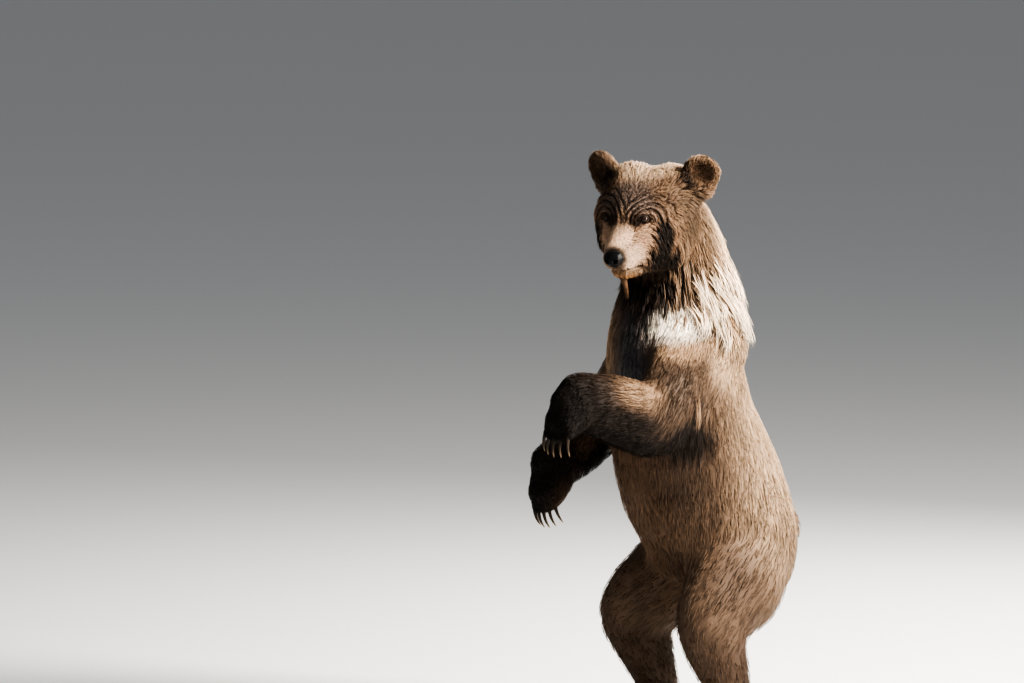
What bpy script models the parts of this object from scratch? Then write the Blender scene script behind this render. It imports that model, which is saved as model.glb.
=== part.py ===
"""A young grizzly bear, life size, standing half crouched on its hind legs.

The left foreleg is held out in front with the paw drooping, the right foreleg hangs beside the belly,
and the head is turned to the bear's left. The bear faces -Y, its left side is +X, and +Z is up.
The outline includes the coat. The body is modelled whole and then parted with thin cuts.
"""

from math import cos, pi, radians, sin

import bmesh
import bpy
import numpy as np
from mathutils import Matrix, Vector

# Sizes in metres.
VOXEL = 0.006
CUT_GAP = 0.0006
FIT_GAP = 0.0004
FIRST_TRIANGLES = 5000
BODY_TRIANGLES = 2640

EYE_RADIUS = 0.0125
EYE_SPACING = 0.118
SOLE_TRIM = 0.0022
CLAW_LENGTH_FORE = 0.050
CLAW_LENGTH_HIND = 0.034
TOES = 5

# The head's frame: origin midway between the eyes, (left, forward, up) in metres.
HEAD_ORIGIN = Vector((0.132, -0.3015, 1.411))
HEAD_TURN = radians(26.5)
HEAD_DROP = radians(15.0)

# Joints of the skeleton, left side; sides that differ are given for both.
SHOULDER_LEFT = Vector((0.125, -0.075, 1.045))
ELBOW_LEFT = Vector((0.205, -0.254, 0.868))
WRIST_LEFT = Vector((0.200, -0.490, 0.950))
PAW_LEFT = Vector((0.198, -0.560, 0.884))
SHOULDER_RIGHT = Vector((-0.112, -0.052, 1.035))
ELBOW_RIGHT = Vector((-0.230, -0.138, 0.808))
WRIST_RIGHT = Vector((-0.136, -0.338, 0.732))
PAW_RIGHT = Vector((-0.124, -0.384, 0.651))
HIP = Vector((0.105, 0.150, 0.455))
KNEE = Vector((0.178, -0.070, 0.325))
ANKLE = Vector((0.165, 0.032, 0.085))
SOLE_TOE = Vector((0.180, -0.122, 0.0))


def clear_scene():
    for old in list(bpy.data.objects):
        bpy.data.objects.remove(old)


def head_matrix():
    """Places the head's own (left, forward, up) axes in the world."""
    heading = Vector((sin(HEAD_TURN), -cos(HEAD_TURN), 0))
    left = Vector((0, 0, 1)).cross(heading)
    forward = heading * cos(HEAD_DROP) - Vector((0, 0, sin(HEAD_DROP)))
    up = forward.cross(left)
    rotation = Matrix((left, forward, up)).transposed().to_4x4()
    return Matrix.Translation(HEAD_ORIGIN) @ rotation


HEAD = head_matrix()


def mesh_object(name, bm, material=None):
    """A new scene object from a bmesh, which is freed."""
    bmesh.ops.recalc_face_normals(bm, faces=bm.faces)
    mesh = bpy.data.meshes.new(name)
    bm.to_mesh(mesh)
    bm.free()
    made = bpy.data.objects.new(name, mesh)
    bpy.context.scene.collection.objects.link(made)
    if material is not None:
        mesh.materials.append(material)
    return made


def smooth_path(values, steps):
    """Catmull-Rom points through rows of numbers, with steps spans between neighbouring rows."""
    rows = np.array(values, float)
    padded = np.vstack([2 * rows[0] - rows[1], rows, 2 * rows[-1] - rows[-2]])
    found = []
    for i in range(1, len(padded) - 2):
        before, start, end, after = padded[i - 1 : i + 3]
        for t in np.arange(steps) / steps:
            found.append(0.5 * (2 * start + (end - before) * t
                                + (2 * before - 5 * start + 4 * end - after) * t * t
                                + (3 * start - before - 3 * end + after) * t ** 3))
    found.append(rows[-1])
    return found


def domed(rows, rings):
    """Adds rounded ends to a tube's rows."""
    for _ in range(2):
        outward = rows[0][:3] - rows[1][:3]
        outward = outward / np.linalg.norm(outward)
        bulge = 0.7 * min(rows[0][3:])
        caps = []
        for k in range(rings, 0, -1):
            turn = k * pi / 2 / (rings + 0.6)
            end = rows[0].copy()
            end[:3] += outward * bulge * sin(turn)
            end[3:] *= cos(turn)
            caps.append(end)
        rows = (caps + list(rows))[::-1]
    return rows


def loft(bm, stations, side=(1, 0, 0), matrix=None, sides=20, steps=5, squareness=2.0, caps=3):
    """A closed tube through (x, y, z, half width, half depth) stations. Width runs along side."""
    rows = domed(smooth_path(stations, steps), caps)
    centres = [Vector(r[:3]) for r in rows]
    rings = []
    for i, row in enumerate(rows):
        ahead = centres[min(i + 1, len(rows) - 1)] - centres[max(i - 1, 0)]
        across = Vector(side) - ahead * (Vector(side).dot(ahead) / ahead.length_squared)
        across.normalize()
        deep = ahead.normalized().cross(across)
        ring = []
        for k in range(sides):
            c, s = cos(2 * pi * k / sides), sin(2 * pi * k / sides)
            push = (abs(c) ** squareness + abs(s) ** squareness) ** (-1 / squareness)
            point = centres[i] + across * (row[3] * c * push) + deep * (row[4] * s * push)
            ring.append(bm.verts.new(matrix @ point if matrix else point))
        rings.append(ring)
    for low, high in zip(rings, rings[1:]):
        for k in range(sides):
            bm.faces.new((low[k], low[(k + 1) % sides], high[(k + 1) % sides], high[k]))
    bm.faces.new(rings[0][::-1])
    bm.faces.new(rings[-1])


def lump(bm, centre, radii, tilt=0.0, axis="X", matrix=None, rings=12):
    """An ellipsoid, turned by tilt degrees about its axis."""
    place = Matrix.Translation(Vector(centre)) @ Matrix.Rotation(radians(tilt), 4, axis)
    place = place @ Matrix.Diagonal(Vector((*radii, 1.0)))
    bmesh.ops.create_uvsphere(bm, u_segments=2 * rings, v_segments=rings, radius=1.0,
                              matrix=matrix @ place if matrix else place)


def mirrored(point, side):
    return Vector((point[0] * side, point[1], point[2]))


# ------------------------------------------------------------------ the flesh

def build_trunk(bm):
    """Pelvis, belly, rib cage, shoulders and neck, from the crotch to the back of the skull."""
    loft(bm, [
        (0.000, 0.150, 0.372, 0.130, 0.135),
        (0.000, 0.146, 0.455, 0.178, 0.192),
        (0.000, 0.098, 0.570, 0.190, 0.222),
        (0.000, 0.018, 0.720, 0.192, 0.230),
        (0.000, -0.028, 0.870, 0.186, 0.202),
        (0.000, -0.048, 0.990, 0.182, 0.191),
        (0.000, -0.046, 1.090, 0.170, 0.185),
        (0.002, -0.038, 1.180, 0.158, 0.171),
        (0.006, -0.047, 1.270, 0.146, 0.149),
        (0.017, -0.078, 1.360, 0.134, 0.131),
        (0.026, -0.110, 1.430, 0.112, 0.106),
    ], sides=28)
    lump(bm, (0.0, 0.062, 1.075), (0.105, 0.082, 0.150), tilt=-4)
    lump(bm, (0.0, 0.205, 0.455), (0.145, 0.128, 0.125))
    lump(bm, (0.0, -0.110, 1.030), (0.125, 0.115, 0.140), tilt=12)
    for side in (1, -1):
        lump(bm, (0.105 * side, -0.020, 1.060), (0.090, 0.130, 0.150), tilt=-10)
    lump(bm, WRIST_LEFT + Vector((-0.002, -0.050, -0.010)), (0.048, 0.050, 0.052))
    lump(bm, (0.0, 0.342, 0.545), (0.034, 0.040, 0.070), tilt=20)


def arm_stations(shoulder, elbow, wrist, girth=1.0):
    """Half width and half depth from the shoulder to the wrist."""
    middle = shoulder.lerp(elbow, 0.55)
    swell = elbow.lerp(wrist, 0.35)
    narrow = elbow.lerp(wrist, 0.74)
    return [
        (*shoulder, 0.070, 0.105),
        (*middle, 0.081 * girth, 0.104 * girth),
        (*elbow, 0.079 * girth, 0.095 * girth),
        (*swell, 0.079 * girth, 0.101 * girth),
        (*narrow, 0.070 * girth, 0.094 * girth),
        (*wrist, 0.061 * girth, 0.079 * girth),
    ]


def build_paw(bm, wrist, knuckle, half_width, toe_reach, palm):
    """Palm, five toes and the pads. The toes run on from wrist to knuckle, palm points to the pads."""
    along = (knuckle - wrist).normalized()
    palm = (Vector(palm) - along * Vector(palm).dot(along)).normalized()
    across = along.cross(palm)
    loft(bm, [
        (*wrist, half_width * 0.92, 0.062),
        (*wrist.lerp(knuckle, 0.5), half_width * 1.0, 0.054),
        (*knuckle, half_width, 0.042),
    ], side=across, squareness=2.6)
    tips = []
    for i in range(TOES):
        spread = (i - (TOES - 1) / 2) / ((TOES - 1) / 2)
        reach = toe_reach * (1 - 0.26 * spread * spread)
        root = knuckle + across * (spread * half_width * 0.74) - along * 0.012
        tip = root + (along + across * 0.16 * spread).normalized() * (reach + 0.012) + palm * 0.010
        radius = half_width * 0.245
        loft(bm, [(*root, radius, radius * 1.25), (*root.lerp(tip, 0.6), radius, radius * 1.2),
                  (*tip, radius * 0.80, radius * 0.95)], side=across, sides=10, steps=3)
        lump(bm, tip, (radius * 0.84,) * 3, rings=8)
        tips.append((tip, (tip - root).normalized(), palm, radius))
    return tips


ARMS = {
    "left": (SHOULDER_LEFT, ELBOW_LEFT, WRIST_LEFT, PAW_LEFT, (0.0, 1.0, 0.35), 1.0),
    "right": (SHOULDER_RIGHT, ELBOW_RIGHT, WRIST_RIGHT, PAW_RIGHT, (0.0, 1.0, 0.2), 0.86),
}


def leg_stations(sign):
    hip, knee, ankle = (mirrored(p, sign) for p in (HIP, KNEE, ANKLE))
    return [
        (*hip, 0.095, 0.130),
        (*hip.lerp(knee, 0.35), 0.114, 0.148),
        (*hip.lerp(knee, 0.75), 0.102, 0.126),
        (*(knee + Vector((0.0, 0.010, -0.020))), 0.086, 0.102),
        (*knee.lerp(ankle, 0.45), 0.076, 0.090),
        (*knee.lerp(ankle, 0.80), 0.063, 0.070),
        (*ankle, 0.056, 0.062),
    ]


def build_legs(bm):
    """Both arms and both hind legs. Returns where each claw grows, by name."""
    claws = {}
    for side, (shoulder, elbow, wrist, paw, palm, girth) in ARMS.items():
        loft(bm, arm_stations(shoulder, elbow, wrist, girth))
        lump(bm, elbow + Vector((0.0, 0.040, -0.018)), (0.052, 0.050, 0.056))
        lump(bm, wrist + Vector((0.0, -0.014, 0.012)), (0.060, 0.066, 0.066))
        for i, claw in enumerate(build_paw(bm, wrist, paw, 0.060, 0.040, palm)):
            claws[f"claw_fore_{side}_{i + 1}"] = (claw, CLAW_LENGTH_FORE)
    for side, sign in (("left", 1), ("right", -1)):
        loft(bm, leg_stations(sign))
        for i, claw in enumerate(build_hind_foot(bm, mirrored(ANKLE, sign), mirrored(SOLE_TOE, sign))):
            claws[f"claw_hind_{side}_{i + 1}"] = (claw, CLAW_LENGTH_HIND)
    return claws


def build_hind_foot(bm, ankle, toe):
    """A flat-soled foot, from the heel to five toes. Its underside lies below the floor and is cut flat."""
    along = Vector((toe.x - ankle.x, toe.y - ankle.y, 0)).normalized()
    across = along.cross(Vector((0, 0, 1)))
    heel = Vector((ankle.x, ankle.y, 0.030)) - along * 0.036
    ball = Vector((toe.x, toe.y, 0.026)) - along * 0.018
    loft(bm, [
        (*(heel - along * 0.012), 0.030, 0.026),
        (*heel, 0.041, 0.040),
        (*heel.lerp(ball, 0.45), 0.047, 0.046),
        (*heel.lerp(ball, 0.80), 0.056, 0.038),
        (*ball, 0.058, 0.032),
    ], side=across, squareness=2.5)
    lump(bm, ankle + along * 0.012 - Vector((0, 0, 0.016)), (0.049, 0.062, 0.056))
    tips = []
    for i in range(TOES):
        spread = (i - (TOES - 1) / 2) / ((TOES - 1) / 2)
        root = ball + across * (spread * 0.043) - Vector((0, 0, 0.004))
        reach = 0.040 - 0.010 * spread * spread
        tip = root + (along + across * 0.14 * spread).normalized() * reach - Vector((0, 0, 0.003))
        loft(bm, [(*root, 0.0145, 0.022), (*root.lerp(tip, 0.6), 0.0150, 0.021),
                  (*tip, 0.0125, 0.0165)], side=across, sides=10, steps=3)
        lump(bm, tip, (0.0125, 0.0125, 0.0150), rings=8)
        tips.append((tip + Vector((0, 0, 0.004)), (tip - root).normalized(), Vector((0, 0, -1)), 0.0125))
    return tips


def head_stations(rows):
    """Rows of (forward, top, bottom, half width) as loft stations."""
    return [(0, f, (top + bottom) / 2, half, (top - bottom) / 2) for f, top, bottom, half in rows]


def build_head(bm):
    """Skull, cheeks, muzzle, jaw and chin, in the head's own frame."""
    m = HEAD
    loft(bm, head_stations([
        (-0.200, 0.080, -0.130, 0.120),
        (-0.160, 0.094, -0.140, 0.136),
        (-0.115, 0.093, -0.142, 0.142),
        (-0.075, 0.079, -0.138, 0.139),
        (-0.040, 0.053, -0.132, 0.122),
        (-0.008, 0.013, -0.126, 0.084),
        (0.030, -0.018, -0.122, 0.056),
        (0.062, -0.031, -0.118, 0.046),
        (0.088, -0.044, -0.110, 0.038),
    ]), matrix=m, sides=28, squareness=2.25)
    loft(bm, head_stations([
        (-0.110, -0.080, -0.172, 0.100),
        (-0.060, -0.092, -0.166, 0.082),
        (-0.010, -0.096, -0.158, 0.058),
        (0.035, -0.098, -0.151, 0.042),
        (0.066, -0.100, -0.145, 0.032),
    ]), matrix=m, sides=18, squareness=2.2)
    for side in (1, -1):
        lump(bm, (0.056 * side, -0.162, 0.056), (0.058, 0.066, 0.050), matrix=m)
        lump(bm, (0.048 * side, -0.100, 0.046), (0.052, 0.062, 0.044), tilt=-20, matrix=m)
        lump(bm, (0.056 * side, -0.038, -0.004), (0.048, 0.047, 0.037), tilt=-16, matrix=m)
        lump(bm, (0.068 * side, -0.038, -0.060), (0.044, 0.058, 0.048), matrix=m)
        lump(bm, (0.086 * side, -0.125, -0.062), (0.052, 0.080, 0.080), matrix=m)
        lump(bm, (0.052 * side, -0.040, -0.104), (0.036, 0.070, 0.048), matrix=m)
        lump(bm, (0.066 * side, -0.085, -0.100), (0.046, 0.070, 0.062), matrix=m)
        lump(bm, (0.022 * side, 0.070, -0.092), (0.024, 0.034, 0.028), tilt=30, matrix=m)
    lump(bm, (0, 0.080, -0.080), (0.037, 0.026, 0.036), matrix=m)


def ear_matrix(side):
    """The ear's own frame: +Z from base to tip, +Y out of its opening."""
    base = Vector((0.129 * side, -0.168, 0.026))
    lean = Matrix.Rotation(radians(24 * side), 4, "Y") @ Matrix.Rotation(radians(2), 4, "X")
    swivel = Matrix.Rotation(radians(-18 * side), 4, "Z")
    return HEAD @ Matrix.Translation(base) @ lean @ swivel


def build_ears(bm):
    """Round ears: thick discs whose fronts are hollowed afterwards."""
    for side in (1, -1):
        m = ear_matrix(side)
        lump(bm, (0, -0.004, 0.0605), (0.0585, 0.029, 0.0545), matrix=m, rings=16)
        lump(bm, (0, -0.004, 0.018), (0.054, 0.040, 0.050), matrix=m)
        lump(bm, (-0.030 * side, -0.008, 0.018), (0.050, 0.036, 0.040), matrix=m)


def hollow_ears(body):
    """Scoops the front of both ears."""
    bm = bmesh.new()
    for side in (1, -1):
        lump(bm, (0, 0.030, 0.065), (0.040, 0.031, 0.039), matrix=ear_matrix(side), rings=12)
    subtract(body, mesh_object("ear_scoop", bm))


# ------------------------------------------------------------------ parting it

def subtract(body, cutter, operation="DIFFERENCE", careful=False):
    cutter.hide_render = True
    cutter.display_type = "WIRE"
    cut = body.modifiers.new(cutter.name, "BOOLEAN")
    cut.operation = operation
    cut.object = cutter
    cut.solver = "EXACT"
    cut.use_self = careful
    freeze(body)
    bpy.data.objects.remove(cutter)


def freeze(obj):
    """Applies every modifier."""
    graph = bpy.context.evaluated_depsgraph_get()
    graph.update()
    done = bpy.data.meshes.new_from_object(obj.evaluated_get(graph))
    obj.modifiers.clear()
    obj.data = done
    bm = bmesh.new()
    bm.from_mesh(done)
    bmesh.ops.remove_doubles(bm, verts=bm.verts, dist=2e-5)
    bmesh.ops.dissolve_degenerate(bm, edges=bm.edges, dist=1e-5)
    bmesh.ops.delete(bm, geom=folded(bm), context="FACES")
    bmesh.ops.delete(bm, geom=fins(bm), context="FACES")
    bm.to_mesh(done)
    bm.free()


def folded(bm):
    """Faces laid flat on each other: they share all their corners."""
    found = {}
    for face in bm.faces:
        found.setdefault(frozenset(face.verts), []).append(face)
    return [face for faces in found.values() if len(faces) > 1 for face in faces]


def fins(bm):
    """Faces that hang from an edge which two other faces already close."""
    return [
        face for face in bm.faces
        if any(e.is_boundary for e in face.edges) and any(len(e.link_faces) > 2 for e in face.edges)
    ]


def weigh(obj, name, weight_of):
    """A vertex group with weight_of(position) on each vertex."""
    group = obj.vertex_groups.new(name=name)
    for vertex in obj.data.vertices:
        group.add([vertex.index], weight_of(vertex.co), "REPLACE")
    return name


def near_head(point):
    """1 on the face and ears, 0 on the neck and body."""
    local = HEAD.inverted() @ point
    gap = (local - Vector((0, -0.08, -0.01))).length
    return min(1.0, max(0.0, (0.27 - gap) / 0.08))


def near_paws(point):
    centres = (PAW_LEFT, PAW_RIGHT, SOLE_TOE, mirrored(SOLE_TOE, -1))
    gap = min((point - c).length for c in centres)
    return min(1.0, max(0.0, (0.14 - gap) / 0.05))


def whole_body(material):
    """The body in one piece, with smooth joins between its masses. Returns it and the claw roots."""
    bm = bmesh.new()
    build_trunk(bm)
    build_head(bm)
    build_ears(bm)
    claws = build_legs(bm)
    body = mesh_object("body", bm, material)
    remesh = body.modifiers.new("skin", "REMESH")
    remesh.mode = "VOXEL"
    remesh.voxel_size = VOXEL
    freeze(body)
    relax(body, "all", 5, lambda p: 1.0)
    relax(body, "soft", 80, lambda p: 1.0 - max(0.82 * near_head(p), 0.94 * near_paws(p)))
    hollow_ears(body)
    floor = mesh_object("floor_cut", box_mesh((-1, -1, -1), (1, 1, 0)))
    subtract(body, floor)
    relax(body, "edges", 1, near_head)
    thin_out(body, FIRST_TRIANGLES, lambda p: 1.0)
    thin_out(body, BODY_TRIANGLES, lambda p: 0.0 if near_head(p) + near_paws(p) > 0.5 else 1.0)
    return body, claws


def thin_out(body, triangles, weight_of):
    """Collapses short edges where the weight isn't 0, down to that many triangles in all."""
    thin = body.modifiers.new("thin", "DECIMATE")
    thin.ratio = triangles / triangle_count(body)
    thin.vertex_group = weigh(body, "thin", weight_of)
    freeze(body)
    body.vertex_groups.clear()


def relax(body, name, steps, weight_of):
    smooth = body.modifiers.new(name, "SMOOTH")
    smooth.factor = 0.5
    smooth.iterations = steps
    smooth.vertex_group = weigh(body, name, weight_of)
    freeze(body)
    body.vertex_groups.clear()


def triangle_count(obj):
    obj.data.calc_loop_triangles()
    return len(obj.data.loop_triangles)


def box_mesh(low, high):
    bm = bmesh.new()
    size = Vector(high) - Vector(low)
    place = Matrix.Translation((Vector(low) + Vector(high)) / 2) @ Matrix.Diagonal((*size, 1.0))
    bmesh.ops.create_cube(bm, size=1.0, matrix=place)
    return bm


def blade(centre, normal, radius):
    """A thin round blade."""
    turn = Vector(normal).to_track_quat("Z", "Y").to_matrix().to_4x4()
    bm = bmesh.new()
    bmesh.ops.create_cone(bm, segments=24, radius1=radius, radius2=radius, depth=CUT_GAP,
                          cap_ends=True, matrix=Matrix.Translation(Vector(centre)) @ turn)
    return mesh_object("blade", bm)


def swollen(obj, gap):
    """A copy whose surface is moved out by the gap."""
    copy = bpy.data.objects.new(obj.name + "_swollen", obj.data.copy())
    bpy.context.scene.collection.objects.link(copy)
    normals = [v.normal.copy() for v in copy.data.vertices]
    for vertex, normal in zip(copy.data.vertices, normals):
        vertex.co += normal * gap
    return copy


def twin(obj, name):
    copy = bpy.data.objects.new(name, obj.data.copy())
    bpy.context.scene.collection.objects.link(copy)
    return copy


def take(body, region, name):
    """Parts what lies inside the region from the body, with a thin gap between them."""
    piece = twin(body, name)
    subtract(body, swollen(region, CUT_GAP))
    subtract(piece, region, "INTERSECT")
    return piece


def slice_off(body, centre, normal, radius, name):
    """Parts the side the normal points to, and returns it under its name."""
    subtract(body, blade(centre, normal, radius))
    bm = bmesh.new()
    bm.from_mesh(body.data)
    piece = bm.copy()
    centre, normal = Vector(centre), Vector(normal)
    for half, sign in ((bm, 1), (piece, -1)):
        gone = [v for island in islands(half)
                for v in island if sign * side_of(island, centre, normal) > 0]
        bmesh.ops.delete(half, geom=gone, context="VERTS")
    bm.to_mesh(body.data)
    bm.free()
    return mesh_object(name, piece, body.data.materials[0])


def side_of(island, centre, normal):
    """Which side of a plane most of the vertices lie on."""
    middle = sum((v.co for v in island), Vector()) / len(island)
    return (middle - centre).dot(normal)


def islands(bm):
    """The separate bodies of a mesh, as lists of vertices."""
    seen, found = set(), []
    for start in bm.verts:
        if start in seen:
            continue
        seen.add(start)
        group, todo = [], [start]
        while todo:
            vertex = todo.pop()
            group.append(vertex)
            for edge in vertex.link_edges:
                other = edge.other_vert(vertex)
                if other not in seen:
                    seen.add(other)
                    todo.append(other)
        found.append(group)
    return found


def limb_region(stations, grow):
    """A convex hull round-ended like a joint, wider than the limb inside it."""
    tube = bmesh.new()
    loft(tube, [(x, y, z, w + grow, d + grow) for x, y, z, w, d in stations], sides=8, steps=1, caps=2)
    bm = bmesh.new()
    for vertex in tube.verts:
        bm.verts.new(vertex.co)
    tube.free()
    hull = bmesh.ops.convex_hull(bm, input=bm.verts)
    inside = [v for v in hull["geom_interior"] if isinstance(v, bmesh.types.BMVert)]
    bmesh.ops.delete(bm, geom=inside, context="VERTS")
    return mesh_object("region", bm)


def bulb_region(place, radii):
    bm = bmesh.new()
    lump(bm, (0, 0, 0), radii, matrix=place, rings=5)
    return mesh_object("region", bm)


def part_by_anchor(body, anchors):
    """Splits a mesh of several bodies into one object for each named place."""
    whole = bmesh.new()
    whole.from_mesh(body.data)
    made = {}
    for name in anchors:
        part = whole.copy()
        gone = []
        for island in islands(part):
            middle = sum((v.co for v in island), Vector()) / len(island)
            if min(anchors, key=lambda other: (anchors[other] - middle).length) != name:
                gone += island
        bmesh.ops.delete(part, geom=gone, context="VERTS")
        made[name] = mesh_object(name, part, body.data.materials[0])
    whole.free()
    bpy.data.objects.remove(body)
    return made


def part_body(body):
    """Cuts the whole body into its named pieces."""
    nodes = []
    anchors = {"chest": Vector((0, 0, 0.85))}
    for side, (shoulder, elbow, wrist, paw, _, girth) in ARMS.items():
        stations = arm_stations(shoulder, elbow, wrist, girth)[:3]
        nodes.append(take(body, limb_region(stations, 0.032), f"upper_arm_{side}"))
        anchors[f"forearm_{side}"] = wrist
    for side, sign in (("left", 1), ("right", -1)):
        stations = leg_stations(sign)
        nodes.append(take(body, limb_region(stations[:4], 0.022), f"thigh_{side}"))
        anchors[f"shin_{side}"] = mirrored(ANKLE, sign)
    made = part_by_anchor(body, anchors)
    nodes += made.values()
    for side, (shoulder, elbow, wrist, paw, _, girth) in ARMS.items():
        ahead = (paw - wrist).normalized()
        turn = (wrist - elbow).normalized() + ahead * 1.3
        cut = wrist + ahead * 0.026
        nodes.append(slice_off(made[f"forearm_{side}"], cut, turn, 0.13, f"forepaw_{side}"))
    for side, sign in (("left", 1), ("right", -1)):
        cut = mirrored(ANKLE, sign) + Vector((0, 0, 0.010))
        nodes.append(slice_off(made[f"shin_{side}"], cut, (0, 0, -1), 0.12, f"hind_foot_{side}"))
    trunk = made["chest"]
    neck = slice_off(trunk, (0, -0.035, 1.175), (0, 0.16, 1), 0.24, "neck")
    pelvis = slice_off(trunk, (0, 0.02, 0.700), (0, 0.16, -1), 0.30, "pelvis")
    tail = take(pelvis, bulb_region(Matrix.Translation((0, 0.378, 0.548)), (0.056, 0.048, 0.085)), "tail")
    turn = HEAD.to_3x3()
    head = slice_off(neck, HEAD @ Vector((0, -0.188, -0.062)), turn @ Vector((0, 0.83, 0.56)),
                     0.24, "head")
    nodes += [neck, pelvis, tail, head]
    for side, sign in (("left", 1), ("right", -1)):
        place = ear_matrix(sign) @ Matrix.Translation((0, 0, 0.082))
        nodes.append(take(head, bulb_region(place, (0.084, 0.052, 0.062)), f"ear_{side}"))
    return nodes, head


def fit_into(body, piece):
    """Cuts room for a piece in the body, with a thin gap round it."""
    subtract(body, swollen(piece, FIT_GAP), careful=True)


def add_eyes(head, paint):
    """Eyeballs sunk in their sockets; how far forward they sit follows the skull's surface."""
    eyes = []
    out = HEAD.to_3x3() @ Vector((0, 1, 0))
    for side, sign in (("left", 1), ("right", -1)):
        start = HEAD @ Vector((EYE_SPACING / 2 * sign, 0.15, 0))
        hit, place, _, _ = head.ray_cast(start, -out)
        bm = bmesh.new()
        bmesh.ops.create_uvsphere(bm, u_segments=10, v_segments=7, radius=EYE_RADIUS,
                                  matrix=Matrix.Translation(place - out * 0.0055))
        eye = mesh_object(f"eye_{side}", bm, paint)
        fit_into(head, eye)
        eyes.append(eye)
    return eyes


def add_nose(head, paint):
    """The bare nose pad with its two nostrils."""
    bm = bmesh.new()
    loft(bm, head_stations([
        (0.078, -0.052, -0.092, 0.024),
        (0.094, -0.047, -0.098, 0.030),
        (0.106, -0.049, -0.098, 0.030),
        (0.112, -0.054, -0.094, 0.025),
        (0.115, -0.062, -0.086, 0.015),
    ]), matrix=HEAD, sides=12, steps=1, squareness=2.5, caps=0)
    nose = mesh_object("nose", bm, paint)
    bm = bmesh.new()
    for side in (1, -1):
        lump(bm, (0.0155 * side, 0.1150, -0.074), (0.0062, 0.012, 0.0080), matrix=HEAD, rings=4)
    fit_into(head, nose)
    subtract(nose, mesh_object("nostrils", bm))
    return nose


def add_jaw(head):
    """Parts the lower jaw along the mouth and down behind its corners."""
    bm = bmesh.new()
    mouth = HEAD @ Matrix.Translation((0, 0.09, -0.112)) @ Matrix.Rotation(radians(6), 4, "X")
    room = Matrix.Translation((0, 0, -0.1)) @ Matrix.Diagonal((0.4, 0.26, 0.2, 1.0))
    bmesh.ops.create_cube(bm, size=1.0, matrix=mouth @ room)
    return take(head, mesh_object("region", bm), "lower_jaw")


def add_claws(paws, claws, paint):
    """A curved claw from every toe, set into it."""
    made = []
    for name, ((root, ahead, palm, radius), length) in claws.items():
        palm = (palm - ahead * palm.dot(ahead)).normalized()
        hooked = 1.05 if "fore" in name else 0.62
        point = root - ahead * 0.010
        rows = [(*point, 0.0044, 0.0072)]
        spans = 4
        for k in range(1, spans + 1):
            turn = hooked * (k - 0.5) / spans
            point = point + (ahead * cos(turn) + palm * sin(turn)) * ((length + 0.010) / spans)
            thin = 1 - 0.80 * (k / spans) ** 1.6
            rows.append((*point, 0.0044 * thin, 0.0072 * thin))
        bm = bmesh.new()
        loft(bm, rows, side=ahead.cross(palm), sides=6, steps=1, caps=0)
        claw = mesh_object(name, bm, paint)
        fit_into(paws[name.split("_")[1] + "_" + name.split("_")[2]], claw)
        made.append(claw)
    return made


def flatten_sole(foot):
    """Trims the foot just above its lowest point, and closes the sole with one flat face."""
    bm = bmesh.new()
    bm.from_mesh(foot.data)
    everything = bm.verts[:] + bm.edges[:] + bm.faces[:]
    trimmed = bmesh.ops.bisect_plane(
        bm, geom=everything, dist=1e-6, plane_co=(0, 0, SOLE_TRIM), plane_no=(0, 0, 1), clear_inner=True
    )
    rim = [e for e in trimmed["geom_cut"] if isinstance(e, bmesh.types.BMEdge)]
    sole = bmesh.ops.contextual_create(bm, geom=rim)["faces"]
    bmesh.ops.triangulate(bm, faces=sole)
    bmesh.ops.recalc_face_normals(bm, faces=bm.faces[:])
    bm.to_mesh(foot.data)
    bm.free()


def settle(nodes):
    """Moves every mesh so that the model's box stands on the origin."""
    corners = np.array([v.co for node in nodes for v in node.data.vertices])
    low, high = corners.min(axis=0), corners.max(axis=0)
    shift = Matrix.Translation((-(low[0] + high[0]) / 2, -(low[1] + high[1]) / 2, -low[2]))
    for node in nodes:
        node.data.transform(shift)
        node.data.update()


def material(name, colour, roughness):
    made = bpy.data.materials.new(name)
    made.use_nodes = True
    shader = made.node_tree.nodes["Principled BSDF"]
    shader.inputs["Base Color"].default_value = (*colour, 1.0)
    shader.inputs["Roughness"].default_value = roughness
    return made


def main():
    clear_scene()
    coat = material("coat", (0.235, 0.150, 0.085), 0.75)
    horn = material("claw_horn", (0.105, 0.078, 0.055), 0.38)
    bare = material("nose_skin", (0.012, 0.011, 0.011), 0.32)
    iris = material("eye", (0.045, 0.020, 0.010), 0.08)
    body, claws = whole_body(coat)
    nodes, head = part_body(body)
    nodes += add_eyes(head, iris)
    nodes.append(add_nose(head, bare))
    nodes.append(add_jaw(head))
    paws = {n.name.replace("forepaw", "fore").replace("hind_foot", "hind"): n for n in nodes}
    nodes += add_claws(paws, claws, horn)
    for name in ("hind_foot_left", "hind_foot_right"):
        flatten_sole(bpy.data.objects[name])
    settle(nodes)


main()
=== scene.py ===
"""A young grizzly bear as a still, life-size model: skin, coat, eyes, nose and claws over the solids."""
from math import cos, pi, radians, sin

import bmesh
import bpy
import numpy as np
from mathutils import Matrix, Vector
from mathutils.bvhtree import BVHTree
from mathutils.kdtree import KDTree


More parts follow.
